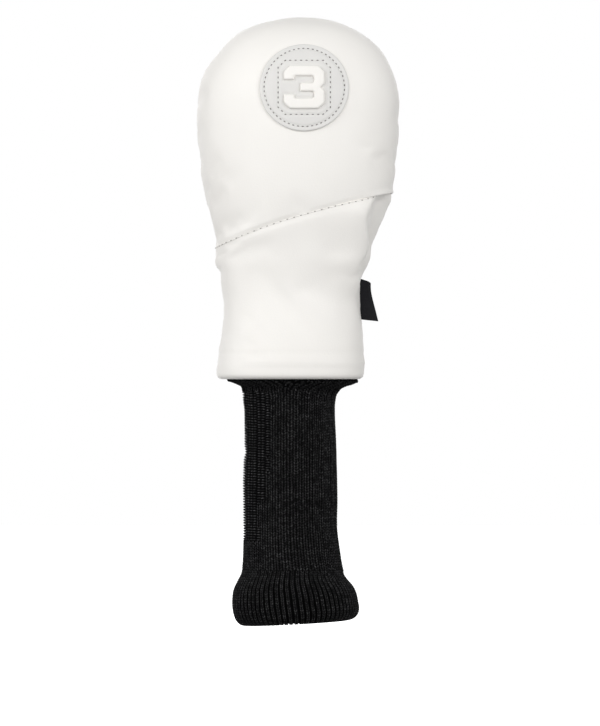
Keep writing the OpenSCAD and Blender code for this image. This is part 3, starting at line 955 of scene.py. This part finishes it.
for name, look, thread, shift in (
    ("slantedSeamStitches", seamStitches, seamThread, 0.0), ("slantedSeamHoles", seamHoleShadows, seamHoleShadow, 0.5)
):
    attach(sewRow(name, [seamPath(look["lift"])], look, thread, shift), "head")
print("seam sewn")

# round patch with a plain numeral

patchShape = {
    "diameter": 40.6, "x": 6.5, "z": 132.7, "lean": 0.975, "thickness": 1.25, "rim": 0.6, "puff": 0.3,
    "sunk": 0.7, "ringRadius": 18.1,
    "numeralHalfWidth": 9.2, "numeralHalfHeight": 9.9, "stroke": 4.7, "corner": 2.7, "endCut": 3.4,
    "notch": 1.7, "innerCorner": 0.8, "innerNotch": 0.7, "middleBar": 1.9, "middleStart": -1.8,
    "outlineGap": 2.6, "outlineCorner": 0.6, "numeralSunk": 0.25,
}
# the ground under the patch: how far and how finely it is sampled, the length its terms are scaled by,
# and their highest power
patchGround = {"reach": 21, "columns": 22, "unit": 20, "degree": 4}
# what presses the patch in, as (depth, reach): its edge's row, the row round the numeral, the numeral
patchPress = {"ring": (0.32, 0.6), "rows": (0.24, 0.55), "numeral": (0.5, 0.95)}
patchStitches = {"pitch": 2.15, "length": 1.25, "thickness": 0.4, "lift": 0.05}
# beads of painted shadow where the needle holes are, between the patch's stitches
patchHoles = {"pitch": 2.15, "length": 1.0, "thickness": 0.48, "lift": 0.1}


def fitPatchGround():
    # a smooth sheet fitted to the crown under the patch
    tree = BVHTree.FromObject(shellPanels["crownFrontPanel"], bpy.context.evaluated_depsgraph_get())
    p, g, samples = patchShape, patchGround, []
    steps = np.linspace(-g["reach"], g["reach"], g["columns"])
    for x in steps:
        for z in steps:
            if math.hypot(x, z) < g["reach"] + 0.5:
                start = Vector(((p["x"] + x) * mm, -0.3, (p["z"] + z) * mm))
                hit = tree.ray_cast(start, Vector((0, 1, 0)))[0]
                samples.append((x / g["unit"], z / g["unit"], hit.y / mm))
    x, z, depth = np.transpose(samples)
    powers = [(i, j) for i in range(g["degree"] + 1) for j in range(g["degree"] + 1 - i)]
    table = np.stack([x**i * z**j for i, j in powers], axis=1)
    return powers, np.linalg.lstsq(table, depth, rcond=None)[0]


patchPowers, patchTerms = fitPatchGround()


def onPatch(x, z, lift):
    p, size = patchShape, patchGround["unit"]
    x, z = np.asarray(x, float) / size, np.asarray(z, float) * p["lean"] / size
    terms = [(i, j, term) for (i, j), term in zip(patchPowers, patchTerms)]
    depth = sum(term * x**i * z**j for i, j, term in terms)
    slopeX = sum(term * i * x ** max(i - 1, 0) * z**j for i, j, term in terms) / size
    slopeZ = sum(term * j * x**i * z ** max(j - 1, 0) for i, j, term in terms) / size
    out = unit(np.stack([slopeX, -np.ones_like(depth), slopeZ], axis=-1))
    ground = np.stack([p["x"] + x * size, depth, p["z"] + z * size], axis=-1)
    return ground + out * np.asarray(lift)[..., None]


def numeralOutline():
    # a block numeral three with cut corners; its upper half is mirrored to make the lower one
    p = patchShape
    w, h, s, c = p["numeralHalfWidth"], p["numeralHalfHeight"], p["stroke"], p["corner"]
    end, cut, notch, bar = p["endCut"], p["innerCorner"], p["innerNotch"], p["middleBar"]
    upper = [
        (-w, end), (-w, h - c), (-w + c, h), (w - c, h), (w, h - c), (w, p["notch"]), (w - p["notch"], 0),
    ]
    lower = [(x, -z) for x, z in reversed(upper[:-1])]
    inner = [
        (-w + s, -end), (-w + s, -h + s + cut / 2), (-w + s + cut, -h + s), (w - s - cut, -h + s),
        (w - s, -h + s + cut), (w - s, -bar - notch), (w - s - notch, -bar), (p["middleStart"], -bar),
    ]
    return upper + lower + inner + [(x, -z) for x, z in reversed(inner)]


def outlineSides():
    # the sewn line round the numeral, one run for each straight side
    p = patchShape
    w, h = p["numeralHalfWidth"] + p["outlineGap"], p["numeralHalfHeight"] + p["outlineGap"]
    c = p["corner"] + p["outlineCorner"]
    half = [(-w, 0), (-w, h - c), (-w + c, h), (w - c, h), (w, h - c), (w, 0)]
    corners = half + [(x, -z) for x, z in reversed(half[1:-1])] + [half[0]]
    return np.array(corners, float)


def distanceTo(x, z, corners):
    nearest = np.full(np.shape(x), 1e9)
    for (ax, az), (bx, bz) in zip(corners[:-1], corners[1:]):
        dx, dz = bx - ax, bz - az
        share = np.clip(((x - ax) * dx + (z - az) * dz) / max(dx * dx + dz * dz, 1e-9), 0, 1)
        nearest = np.minimum(nearest, np.hypot(x - ax - share * dx, z - az - share * dz))
    return nearest


def patchLift(x, z):
    p, away = patchShape, np.hypot(x, z)
    outline = numeralOutline()
    lift = p["thickness"] + p["puff"] * (1 - (away / (p["diameter"] / 2)) ** 2)
    for gap, (depth, reach) in (
        (away - p["ringRadius"], patchPress["ring"]),
        (distanceTo(x, z, outlineSides()), patchPress["rows"]),
        (distanceTo(x, z, outline + outline[:1]), patchPress["numeral"]),
    ):
        lift = lift - depth * bell(gap, reach)
    return lift


def makePatch():
    # rings from the middle out over the rounded rim, then under it and back in
    p = patchShape
    edge, rim = p["diameter"] / 2, p["rim"]
    turns = np.radians(np.arange(0, 360, 2.0))
    over = np.radians(np.linspace(90, 0, 6))[1:]
    face = np.linspace(0.5, edge - rim, 46)
    radii = np.concatenate([face, edge - rim + rim * np.cos(over), [edge, edge * 0.5]])
    x, z = radii[:, None] * np.cos(turns), radii[:, None] * np.sin(turns)
    lift = patchLift(x, z)
    lift[len(face):-2] = lift[len(face) - 1] - rim * (1 - np.sin(over))[:, None]
    lift[-2:] = -p["sunk"]
    middles = [onPatch(0, 0, patchLift(0, 0)), onPatch(0, 0, -p["sunk"])]
    points = np.concatenate([onPatch(x, z, lift).reshape(-1, 3), middles])
    count, tip = len(turns), len(points) - 2
    faces = gridFaces(len(radii), count, ringed=True)
    faces += [face[::-1] for face in fanFaces(0, count, tip)]
    faces += fanFaces((len(radii) - 1) * count, count, tip + 1)
    patch = meshObject("greyRoundPatch", points * mm, faces, greyPatchLeather)
    closeSolid(patch)
    return patch


numeralCut = {
    "halfHeight": 0.75, "rounding": 0.9, "roundSteps": 4, "voxel": 0.27, "soften": 0.6, "softenSteps": 6,
    "sharpAngle": 80,
}


def makeNumeral():
    # cut from the outline, rounded over, then laid on the patch
    p, c = patchShape, numeralCut
    outline = numeralOutline()
    curve = bpy.data.curves.new("numeralCut", "CURVE")
    curve.dimensions, curve.fill_mode = "2D", "BOTH"
    spline = curve.splines.new("POLY")
    spline.points.add(len(outline) - 1)
    for point, (x, z) in zip(spline.points, outline):
        point.co = (x, z, 0, 1)
    spline.use_cyclic_u = True
    curve.offset, curve.bevel_depth, curve.bevel_resolution = -c["rounding"], c["rounding"], c["roundSteps"]
    curve.extrude = c["halfHeight"]
    cut = linkObject("numeralCut", curve)
    remesh = cut.modifiers.new("even", "REMESH")
    remesh.mode, remesh.voxel_size = "VOXEL", c["voxel"]
    soften = cut.modifiers.new("soften", "SMOOTH")
    soften.factor, soften.iterations = c["soften"], c["softenSteps"]
    mesh = plainMesh(cut)
    flat = np.array([corner.co for corner in mesh.vertices])
    placed = onPatch(flat[:, 0], flat[:, 1], p["thickness"] - p["numeralSunk"] + flat[:, 2])
    faces = [tuple(polygon.vertices) for polygon in mesh.polygons]
    numeral = meshObject("patchNumeral", placed * mm, faces, whiteShell)
    closeSolid(numeral, c["sharpAngle"])
    return numeral


def patchRows(lift):
    # the row along the patch's edge, then one for each side of the row round the numeral
    turns = np.radians(np.linspace(0, 360, 241))
    paths = [patchShape["ringRadius"] * np.stack([np.cos(turns), np.sin(turns)], axis=-1)]
    corners = outlineSides()
    for a, b in zip(corners[:-1], corners[1:]):
        count = max(1, round(np.linalg.norm(b - a) / patchStitches["pitch"]))
        inset = 0.5 / count
        paths.append(a + (b - a) * np.linspace(inset, 1 - inset, max(2, count * 3))[:, None])
    return [onPatch(x, z, patchLift(x, z) + lift) for x, z in (path.T for path in paths)]


roundPatch = makePatch()
patchNumeral = makeNumeral()
for name, look, thread, shift in (
    ("patchStitches", patchStitches, patchThread, 0.0), ("patchHoles", patchHoles, patchHoleShadow, 0.5)
):
    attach(sewRow(name, patchRows(look["lift"]), look, thread, shift), "head")
for piece, slotName in ((roundPatch, "grey_leatherette"), (patchNumeral, "white_leatherette")):
    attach(piece, "head")
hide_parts("round_patch")
print("patch made")

# folded side label

sideLabel = {
    "top": 46.5, "height": 19, "out": 7.5, "outTop": 4.4, "layerGap": 0.27, "tape": 0.3, "corner": 1.3,
    "curl": 0.0078125, "sewnIn": 1.2, "droop": (0.9, 1.5),
}


def makeLabel():
    # from the seam out along one layer, round the fold, and back along the other
    part = sideLabel
    heights = np.linspace(part["top"] - part["height"], part["top"], 26)
    root = railAt(heelKnots, heights) + easedCurve(outlineDrift["heel"], heights) - part["sewnIn"]
    share = np.linspace(0, 1, len(heights))
    reach = mix(part["out"], part["outTop"], share) + part["sewnIn"]
    below = np.clip(1 - (part["top"] - heights) / part["corner"], 0, 1)
    reach = reach - part["corner"] * (1 - np.sqrt(1 - below**2))
    run = np.linspace(0, 1, 14)
    turns = np.radians(np.linspace(90, -90, 9))[1:-1]
    steps = [(s, -1.0, 0.0) for s in run]
    steps += [(1.0, -math.sin(t), math.cos(t)) for t in turns]
    steps += [(s, 1.0, 0.0) for s in run[::-1]]

    def skin(offset):
        half = part["layerGap"] + offset
        rows = []
        for s, y, x in steps:
            px = root + s * (reach - part["layerGap"]) + x * half
            pz = heights - s * mix(*part["droop"], share)
            rows.append(np.stack([px, y * half - part["curl"] * (px - root) ** 2, pz], axis=-1))
        return np.array(rows)

    loop = np.concatenate([skin(part["tape"] / 2), skin(-part["tape"] / 2)[::-1]])
    return panelSolid("foldedSideLabel", loop, labelTape)


label = makeLabel()
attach(label, "label")
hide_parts("side_label")

# one tree lays loops of yarn over any surface

# corners of a strand, in shares of the loop's width, of the yarn's thickness and of the loop's height
loopShape = {
    "leg": ((0.03, -0.35, -0.72), (0.30, 0.75, -0.05), (0.44, -0.45, 0.72)), "legSteps": 3,
    "bar": ((-0.56, -0.5, -0.12), (0.0, 1.0, 0.2), (0.56, -0.5, -0.12)), "barSteps": 4,
    "sides": 4, "taper": 0.45,
}


def makeKnitTree():
    # a plain loop shows two legs; a turned loop shows one bar across
    tree, given, out = startTree("knitLoops", [
        ("Loop Width", "NodeSocketFloat"), ("Loop Height", "NodeSocketFloat"),
        ("Yarn Thickness", "NodeSocketFloat"), ("Yarn", "NodeSocketMaterial"),
    ])
    sizes = given["Loop Width"], given["Yarn Thickness"], given["Loop Height"]

    def strand(corners, steps):
        start, middle, end = [
            vectorOf(tree, *[combined(tree, "MULTIPLY", size, share) for size, share in zip(sizes, corner)])
            for corner in corners
        ]
        bent = made(
            tree, "GeometryNodeCurveQuadraticBezier", Start=start, Middle=middle, End=end, Resolution=steps
        )
        return taperedStrand(tree, bent, given["Yarn Thickness"], loopShape)

    legs = addNode(tree, "GeometryNodeJoinGeometry")
    for side in (-1, 1):
        leg = [(side * x, y, z) for x, y, z in loopShape["leg"]]
        wire(tree, legs, Geometry=strand(leg, loopShape["legSteps"]))
    kinds = addNode(tree, "GeometryNodeGeometryToInstance")
    for pattern in (strand(loopShape["bar"], loopShape["barSteps"]), legs.outputs["Geometry"]):
        wire(tree, kinds, Geometry=pattern)
    stored = {
        label: made(tree, "GeometryNodeInputNamedAttribute", data_type=kind, Name=label)
        for label, kind in (("turn", "FLOAT_VECTOR"), ("stretch", "FLOAT_VECTOR"), ("loopKind", "INT"))
    }
    points = made(tree, "GeometryNodeMeshToPoints", Mesh=given["Geometry"])
    placed = made(
        tree, "GeometryNodeInstanceOnPoints", Points=points, Instance=kinds.outputs["Instances"],
        Pick_Instance=True, Instance_Index=stored["loopKind"],
        Rotation=stored["turn"], Scale=stored["stretch"],
    )
    finishTree(tree, placed, given["Yarn"], out)
    return tree


knitTree = makeKnitTree()


def knitPlaces(surface, waleCount, firstT, lastT, pitch):
    # where each loop sits on the surface, which way it faces, and how wide it is there
    half = math.pi / waleCount
    angles = np.arange(waleCount)[None, :] * half * 2
    t = np.arange(firstT, lastT, 0.2)
    line = surface(t[:, None], angles)
    beside = surface(t[:, None], angles + half) - surface(t[:, None], angles - half)
    run, climb = runAlong(line), -np.gradient(line, axis=0)
    courses = int(run[-1].mean() / pitch)
    rows = (np.arange(courses) + 0.5) / courses
    place, up, width = [], [], []
    for j in range(waleCount):
        where = np.interp(rows * run[-1, j], run[:, j], np.arange(len(t)))
        i = np.floor(where).astype(int)
        k, s = np.minimum(i + 1, len(t) - 1), (where - i)[:, None]
        for values, grid in ((place, line), (up, climb), (width, beside)):
            values.append(grid[i, j] * (1 - s) + grid[k, j] * s)
    return np.array(place), unit(np.array(up)), np.array(width)


def layLoops(name, place, up, beside, look, kinds, paintedBrightness=1.0):
    # a point for every loop, which says how it is turned, stretched and shaded
    place, up, beside = place.reshape(-1, 3), up.reshape(-1, 3), beside.reshape(-1, 3)
    width = np.linalg.norm(beside, axis=-1)
    out = unit(np.cross(beside, up))
    across = np.cross(out, up)
    dice = np.random.default_rng(look["seed"])
    tilt = dice.normal(0, look["unevenness"], len(place))
    tall = 1 + dice.normal(0, look["heightSpread"], len(width))
    # a random tone for each loop, times any painted shade it is given
    shade = paintedBrightness * dice.uniform(0, 1, len(place))
    turns = [
        (Matrix(axes).transposed() @ Matrix.Rotation(lean, 3, "Y")).to_euler("XYZ")
        for *axes, lean in zip(across, out, up, tilt)
    ]
    stretch = np.stack([width / look["width"], np.ones_like(width), tall], axis=-1)
    mesh = bpy.data.meshes.new(name + "Places")
    mesh.from_pydata(((place + out * look["lift"]) * mm).tolist(), [], [])
    for label, kind, field, values in (
        ("turn", "FLOAT_VECTOR", "vector", np.array(turns, np.float32)),
        ("stretch", "FLOAT_VECTOR", "vector", stretch.astype(np.float32)),
        ("shade", "FLOAT", "value", shade.astype(np.float32)),
        ("loopKind", "INT", "value", kinds.astype(np.int32)),
    ):
        mesh.attributes.new(label, kind, "POINT").data.foreach_set(field, values.ravel())
    return grown(name, linkObject(name + "Places", mesh), knitTree, {
        "Loop Width": look["width"] * mm, "Loop Height": look["height"] * mm,
        "Yarn Thickness": look["yarn"] * mm, "Yarn": blackYarn,
    })


def joined(name, pieces):
    # several meshes made one, with the first one's material
    form = bmesh.new()
    for piece in pieces:
        form.from_mesh(piece.data)
    mesh = bpy.data.meshes.new(name)
    form.to_mesh(mesh)
    form.free()
    mesh.materials.append(pieces[0].data.materials[0])
    for piece in pieces:
        bpy.data.objects.remove(piece)
    return linkObject(name, mesh)


# gathered collar and knit sleeve

knitSleeve = {
    "width": 42.4, "depth": 39, "collarHeight": 8, "length": 87.5, "flare": 4, "endX": 1.3, "power": 2.1,
    "hemGap": 0.15, "wall": 2.2, "wales": 52, "waleGroove": 0.25, "baseSunk": 0.55, "split": -5.0,
}
gathers = {
    "count": 22, "drift": 0.5, "driftPeriod": 1.5, "unevenness": 0.25, "unevenPeriod": 0.35,
    "lean": 0.10, "leanTo": 14, "leanAngle": math.radians(300),
}
# a little slack all along the tube, a pinch on its toe side, and a lip on its heel side under the hem
sleeveSlack = {
    "slack": 0.35, "from": (12, 26), "to": (76, 88), "wave": 34, "tilt": 14, "tiltAngle": 0.6,
    "pinch": 0.7, "pinchZ": -33.6, "pinchReach": 2.4, "lip": 1.9, "lipZ": -2.1, "lipReach": 1.7,
}
# turned loops lie on the toe side of edge, between two heights
loopStrip = {
    "edge": -9.5, "sway": 1.6, "swayPeriod": 19, "narrowing": 5, "narrowsFrom": (38, 60), "back": 6,
    "z": (-74, -6),
}
sleeveLoops = {
    "width": 2.45, "height": 1.2, "yarn": 0.82, "lift": -0.22,
    "unevenness": 0.07, "heightSpread": 0.03, "seed": 4,
}

# path down the knit: place along it, height, share of the way from the sleeve's size to the hem's, and
# depth of the gathers
collarPath = np.array([
    (0, 6.6, 1.0, 0.0), (4, 2.65, 1.0, 0.05), (6.4, 0.3, 1.04, 0.1), (7.5, -0.6, 1.18, 0.2),
    (9.2, -1.5, 0.98, 0.35), (11.7, -2.5, 0.67, 0.45), (14.3, -3.5, 0.34, 0.5), (15.7, -4.4, 0.2, 0.5),
    (16.7, -5.3, 0.14, 0.45), (18.7, -7.1, 0.03, 0.3), (21.6, -10, 0.0, 0.15), (27.6, -16, 0.0, 0.0),
    (99.1, -87.5, 0.0, 0.0),
])
# how much of the flare is left, by the share of the way up the sleeve
sleeveFlare = [(0, 1), (0.07, 0.55), (0.18, 0.15), (0.4, 0), (1, 0)]
# how far the knit's outline strays from a plain tube, by height
knitDrift = {
    "toe": [
        (-87, 0), (-56, 0), (-48, 0.4), (-40, -0.1), (-32, -0.4), (-15, -0.4), (-8, 0), (-4.5, -0.9),
        (0, -0.5),
    ],
    "heel": [
        (-87, -0.1), (-73, 0.7), (-64, 0.25), (-52, 0.5), (-40, 0), (-28, 0.2), (-20, -0.5), (-10, -0.6),
        (-4, 0),
    ],
}


def knitSurface(t, a):
    # t is a place along collarPath, and a runs round the tube
    k, h, g, w = knitSleeve, headShape, gathers, sleeveSlack
    t, a = np.broadcast_arrays(t, a)
    z, share, puff = (easedCurve(collarPath, t, column) for column in (1, 2, 3))
    heelward = np.cos(a)
    up = np.clip((z + k["length"]) / (k["length"] - k["collarHeight"]), 0, 1)
    flare = easedCurve(sleeveFlare, up)
    hemInset = 2 * h["hemRoll"] + k["hemGap"]
    halfX = mix((k["width"] + k["flare"] * flare) / 2, h["hemWidth"] / 2 - hemInset, share)
    halfY = mix((k["depth"] + k["flare"] * flare) / 2, h["hemDepth"] / 2 - hemInset, share)
    power = mix(k["power"], h["sectionPower"], np.clip(share, 0, 1))
    lean = g["lean"] * np.clip(-z, 0, g["leanTo"]) * ramp(np.cos(a - g["leanAngle"]), 0.2, 1)
    waves = np.cos(g["count"] * a + g["drift"] * wander(a, g["driftPeriod"], 31) + lean)
    grow = puff * (waves + g["unevenness"] * wander(a, g["unevenPeriod"], 32))
    slack = w["slack"] * ramp(-z, *w["from"]) * (1 - ramp(-z, *w["to"]))
    grow = grow + slack * wander(z + w["tilt"] * np.cos(a - w["tiltAngle"]), w["wave"], 33)
    grow = grow - w["pinch"] * bell(z - w["pinchZ"], w["pinchReach"]) * ramp(-heelward, 0.8, 1)
    grow = grow + easedCurve(knitDrift["heel"], z) * ramp(heelward, 0.2, 1)
    grow = grow + easedCurve(knitDrift["toe"], z) * ramp(-heelward, 0.2, 1)
    lip = w["lip"] * bell(z - w["lipZ"], w["lipReach"])
    x = swell(heelward, power) * (halfX + grow) + flare * k["endX"] + lip
    return np.stack([x, swell(np.sin(a), power) * (halfY + grow), z], axis=-1)


def surfaceOut(surface, t, a):
    stepT, stepA = 0.1, 0.01
    down = surface(t + stepT, a) - surface(t - stepT, a)
    beside = surface(t, a + stepA) - surface(t, a - stepA)
    return unit(np.cross(down, beside))


def knitTube(name, places, perWale):
    # the fabric under the loops; between two wales it lies a little deeper
    k = knitSleeve
    columns = k["wales"] * perWale
    angles = np.arange(columns) * 2 * math.pi / columns
    grid = places[:, None], angles[None, :]
    line = knitSurface(*grid)
    level = unit(line * (1, 1, 0))
    groove = k["waleGroove"] * (1 - np.abs(np.cos(k["wales"] * angles / 2))) ** 2
    outer = line - surfaceOut(knitSurface, *grid) * (k["baseSunk"] + groove)[..., None]
    return ringSolid(name, np.concatenate([outer, (line - level * k["wall"])[::-1]]), blackYarn)


def splitPlace():
    # where along the path the collar ends and the sleeve starts
    t = np.linspace(10, 20, 1001)
    return float(np.interp(-knitSleeve["split"], -easedCurve(collarPath, t), t))


def makeCollarAndSleeve():
    k, strip = knitSleeve, loopStrip
    cut, end = splitPlace(), collarPath[-1, 0]
    collarTube = knitTube("collarTube", np.linspace(0, cut, 44), 5)
    sleeveTube = knitTube("sleeveTube", np.linspace(cut, end, 28), 2)
    place, up, beside = knitPlaces(knitSurface, k["wales"], 2.0, end, sleeveLoops["height"])
    x, y, z = np.moveaxis(place, -1, 0)
    edge = strip["edge"] + strip["sway"] * wander(z, strip["swayPeriod"], 41)
    edge = edge - strip["narrowing"] * ramp(-z, *strip["narrowsFrom"])
    lowest, highest = strip["z"]
    kinds = ((x < edge) & (y < strip["back"]) & (z < highest) & (z > lowest)).astype(int)
    above = z > k["split"]
    pieces = []
    # painted shade: the collar's loops lie in the hem's shade, so their crests are painted darker
    for name, tube, pick, paintedBrightness in (
        ("gatheredKnitCollar", collarTube, above, 0.4), ("knitSleeve", sleeveTube, ~above, 1.0)
    ):
        laid = place[pick], up[pick], beside[pick]
        pieces.append(joined(name, [tube, layLoops(name + "Loops", *laid, sleeveLoops, kinds[pick], paintedBrightness)]))
    return pieces


knitCollar, sleeve = makeCollarAndSleeve()
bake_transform(knitCollar)
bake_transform(sleeve)
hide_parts("knit_collar")
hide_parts("knit_sleeve")
sleeveCount = sum(len(face.vertices) - 2 for face in sleeve.data.polygons)
print("collar and sleeve knitted:", sleeveCount, "triangles on the sleeve")

# folded rib cuff

ribCuff = {
    "ribs": 72, "grooveDepth": 0.95, "width": 58, "depth": 57, "topWidth": 46.4, "topDepth": 43,
    "height": 24.4, "topZ": -87.5, "topX": 1.3, "mouthX": 2.6, "mouthRadius": 21.6, "rise": 3.2, "power": 2.1,
    "ribPower": 0.8, "uneven": 0.3, "unevenPeriod": 11 / 12, "unevenTwist": 1 / 60, "baseSunk": 0.35,
    "insideDepth": 0.985,
}
cuffLoops = {
    "width": 1.62, "height": 1.12, "yarn": 0.66, "lift": -0.1,
    "unevenness": 0.05, "heightSpread": 0.03, "seed": 9,
}
# inside the fold: radius, height and middle of each ring
cuffInside = [(23.9, -98.6, 2.2), (22.4, -93, 1.7), (21.4, -87.2, 1.3)]
# path of the fold: place along it, share of the height, bulge, depth of the ribs, share of the way to
# the mouth's circle, lean
cuffPath = np.array([
    (0, 1.0, 0.0, 0, 0, 0), (1.8, 0.93, 0.03, 0.05, 0, -0.25), (5.5, 0.8, 0.31, 0.3, 0, -0.6),
    (9.9, 0.65, 0.7, 0.8, 0, -0.5), (13.9, 0.5, 0.9, 1, 0, -0.1), (18.2, 0.33, 0.98, 1, 0, 0.2),
    (21.5, 0.2, 0.96, 1, 0, 0.55), (24.6, 0.09, 0.78, 1, 0, 0.6), (27.1, 0.02, 0.46, 1, 0, 0.5),
    (28.7, 0.0, 0.2, 1, 0.12, 0.3), (30.2, 0.02, 0.1, 0.8, 0.62, 0), (31.4, 0.06, 0, 0.5, 0.95, 0),
    (33, 0.12, 0, 0.3, 1, 0), (42.7, 0.5, 0, 0.2, 1, 0),
])


def cuffSurface(t, a):
    # t is a place along cuffPath, down the outside, round the fold and up the inside
    c = ribCuff
    t, a = np.broadcast_arrays(t, a)
    share, bulge, ribbed, inward, lean = (easedCurve(cuffPath, t, column) for column in range(1, 6))
    inward = np.clip(inward, 0, 1)
    groove = ribbed * c["grooveDepth"] * (1 - np.abs(np.cos(c["ribs"] * a / 2)) ** c["ribPower"])
    grow = c["uneven"] * bulge * wander(a + t * c["unevenTwist"], c["unevenPeriod"], 51) - groove
    halfX = mix(c["topWidth"], c["width"], bulge) / 2 + grow
    halfY = mix(c["topDepth"], c["depth"], bulge) / 2 + grow
    mouth = c["mouthRadius"] + groove * 0.5
    x = mix(swell(np.cos(a), c["power"]) * halfX, np.cos(a) * mouth, inward)
    y = mix(swell(np.sin(a), c["power"]) * halfY, np.sin(a) * mouth, inward)
    slant = c["rise"] * x / c["width"] * (1 - ramp(share, 0.5, 1))
    middle = mix(c["mouthX"], c["topX"], share * (1 - inward)) + lean
    return np.stack([middle + x, y, c["topZ"] - (1 - share) * c["height"] + slant], axis=-1)


def makeCuff():
    c = ribCuff
    angles = np.radians(np.arange(c["ribs"] * 6) * 60 / c["ribs"])
    t = np.unique(np.concatenate([np.linspace(0, 24, 30), np.linspace(24, 33, 18), np.linspace(33, 42.7, 9)]))
    grid = t[:, None], angles[None, :]
    face = cuffSurface(*grid) - c["baseSunk"] * surfaceOut(cuffSurface, *grid)
    inside = [
        np.stack([
            middle + radius * np.cos(angles), radius * c["insideDepth"] * np.sin(angles),
            np.full(len(angles), z),
        ], axis=-1)
        for radius, z, middle in cuffInside
    ]
    fold = ringSolid("cuffFold", np.concatenate([face, inside]), blackYarn)
    place, up, beside = knitPlaces(cuffSurface, c["ribs"], 0.0, 30.5, cuffLoops["height"])
    # all its loops are equally wide
    beside = unit(beside) * cuffLoops["width"]
    loops = layLoops("cuffLoops", place, up, beside, cuffLoops, np.zeros(place.shape[:2]))
    return joined("foldedRibCuff", [fold, loops])


cuff = makeCuff()
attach(cuff, "sleeve")
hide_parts("rib_cuff", "cuff_turn")
print("cuff knitted:", len(cuff.data.polygons), "faces")

# floor, light and camera

studio = {
    "floorZ": -0.168, "floorReach": 4.0, "floorTone": 0.28, "seenTone": 0.75, "floorRoughness": 0.9,
    "glowRange": (0.36, 1.0), "glowFrom": (0.12, 0.8), "ambient": 0.35, "ambientTint": (0.97, 0.985, 1.0, 1),
    "camera": (0.0046, -3.0, 0.0074), "sensor": 24, "lens": 215.5,
}
# each lamp's place, size and power; all of them point at one place on the object
lampsAim = (0, 0, 0.03)
lamps = {
    "keyLamp": ((-0.55, -1.5, 0.53), (1.0, 1.3), 9.1),
    "rightLamp": ((0.95, -1.22, 0.45), (1.0, 1.0), 11.8),
    "sideLamp": ((-1.48, -0.5, 0.42), (0.9, 1.3), 10.6),
    "backLamp": ((-0.1, 1.5, 0.6), (1.6, 1.0), 6.0),
}


def seenDirectly(tree):
    # 1 where a ray comes from the camera, or straight off glass or gloss
    path = addNode(tree, "ShaderNodeLightPath")
    seen = combined(tree, "MAXIMUM", path.outputs["Is Camera Ray"], path.outputs["Is Glossy Ray"])
    return combined(tree, "MAXIMUM", seen, path.outputs["Is Transmission Ray"])


def makeFloor():
    # the camera sees a paler floor than the one that lights the object from below, so the shadow
    # shows; the glow grows away from the object, and the far floor fades into the backdrop
    part, tone = studio, studio["floorTone"]
    look = {"colour": (tone, tone, tone), "roughness": part["floorRoughness"]}
    material, tree, shader, place = startMaterial("palePlainFloor", look)
    seen = seenDirectly(tree)
    wire(tree, shader, Base_Color=mapped(tree, seen, tone, part["seenTone"]))
    far = addNode(tree, "ShaderNodeVectorMath", operation="LENGTH", Vector=place).outputs["Value"]
    strength = combined(tree, "MULTIPLY", seen, mapped(tree, far, *part["glowRange"], *part["glowFrom"]))
    glow = made(tree, "ShaderNodeEmission", Color=(1, 1, 1, 1), Strength=strength)
    both = made(tree, "ShaderNodeAddShader", shader.outputs["BSDF"], glow)
    wire(tree, tree.nodes["Material Output"], Surface=both)
    z, reach = part["floorZ"], part["floorReach"]
    corners = [(-reach, -reach, z), (reach, -reach, z), (reach, reach, z), (-reach, reach, z)]
    floor = meshObject("plainFloor", corners, [(0, 1, 2, 3)], material)


def makeWorld():
    # a soft even light, and plain white where the camera looks past the floor
    world = bpy.data.worlds.new("softStudio")
    world.use_nodes = True
    scene.world = world
    tree = world.node_tree
    soft = tree.nodes["Background"]
    wire(tree, soft, Color=studio["ambientTint"], Strength=studio["ambient"])
    white = made(tree, "ShaderNodeBackground", Color=(1, 1, 1, 1), Strength=1.0)
    choice = made(tree, "ShaderNodeMixShader", seenDirectly(tree), soft.outputs["Background"], white)
    wire(tree, tree.nodes["World Output"], Surface=choice)


def softLamp(name, place, size, power):
    lamp = bpy.data.lights.new(name, "AREA")
    lamp.shape, lamp.energy = "RECTANGLE", power
    lamp.size, lamp.size_y = size
    stand = linkObject(name, lamp)
    stand.location = place
    stand.rotation_euler = (Vector(lampsAim) - Vector(place)).to_track_quat("-Z", "Y").to_euler()


makeFloor()
makeWorld()
for name, (place, size, power) in lamps.items():
    softLamp(name, place, size, power)

camera = bpy.data.cameras.new("camera")
camera.sensor_fit, camera.sensor_height, camera.lens = "VERTICAL", studio["sensor"], studio["lens"]
cameraStand = linkObject("camera", camera)
cameraStand.location = studio["camera"]
cameraStand.rotation_euler = (math.radians(90), 0, 0)
scene.camera = cameraStand
scene.view_settings.view_transform = "Standard"
print("studio set")
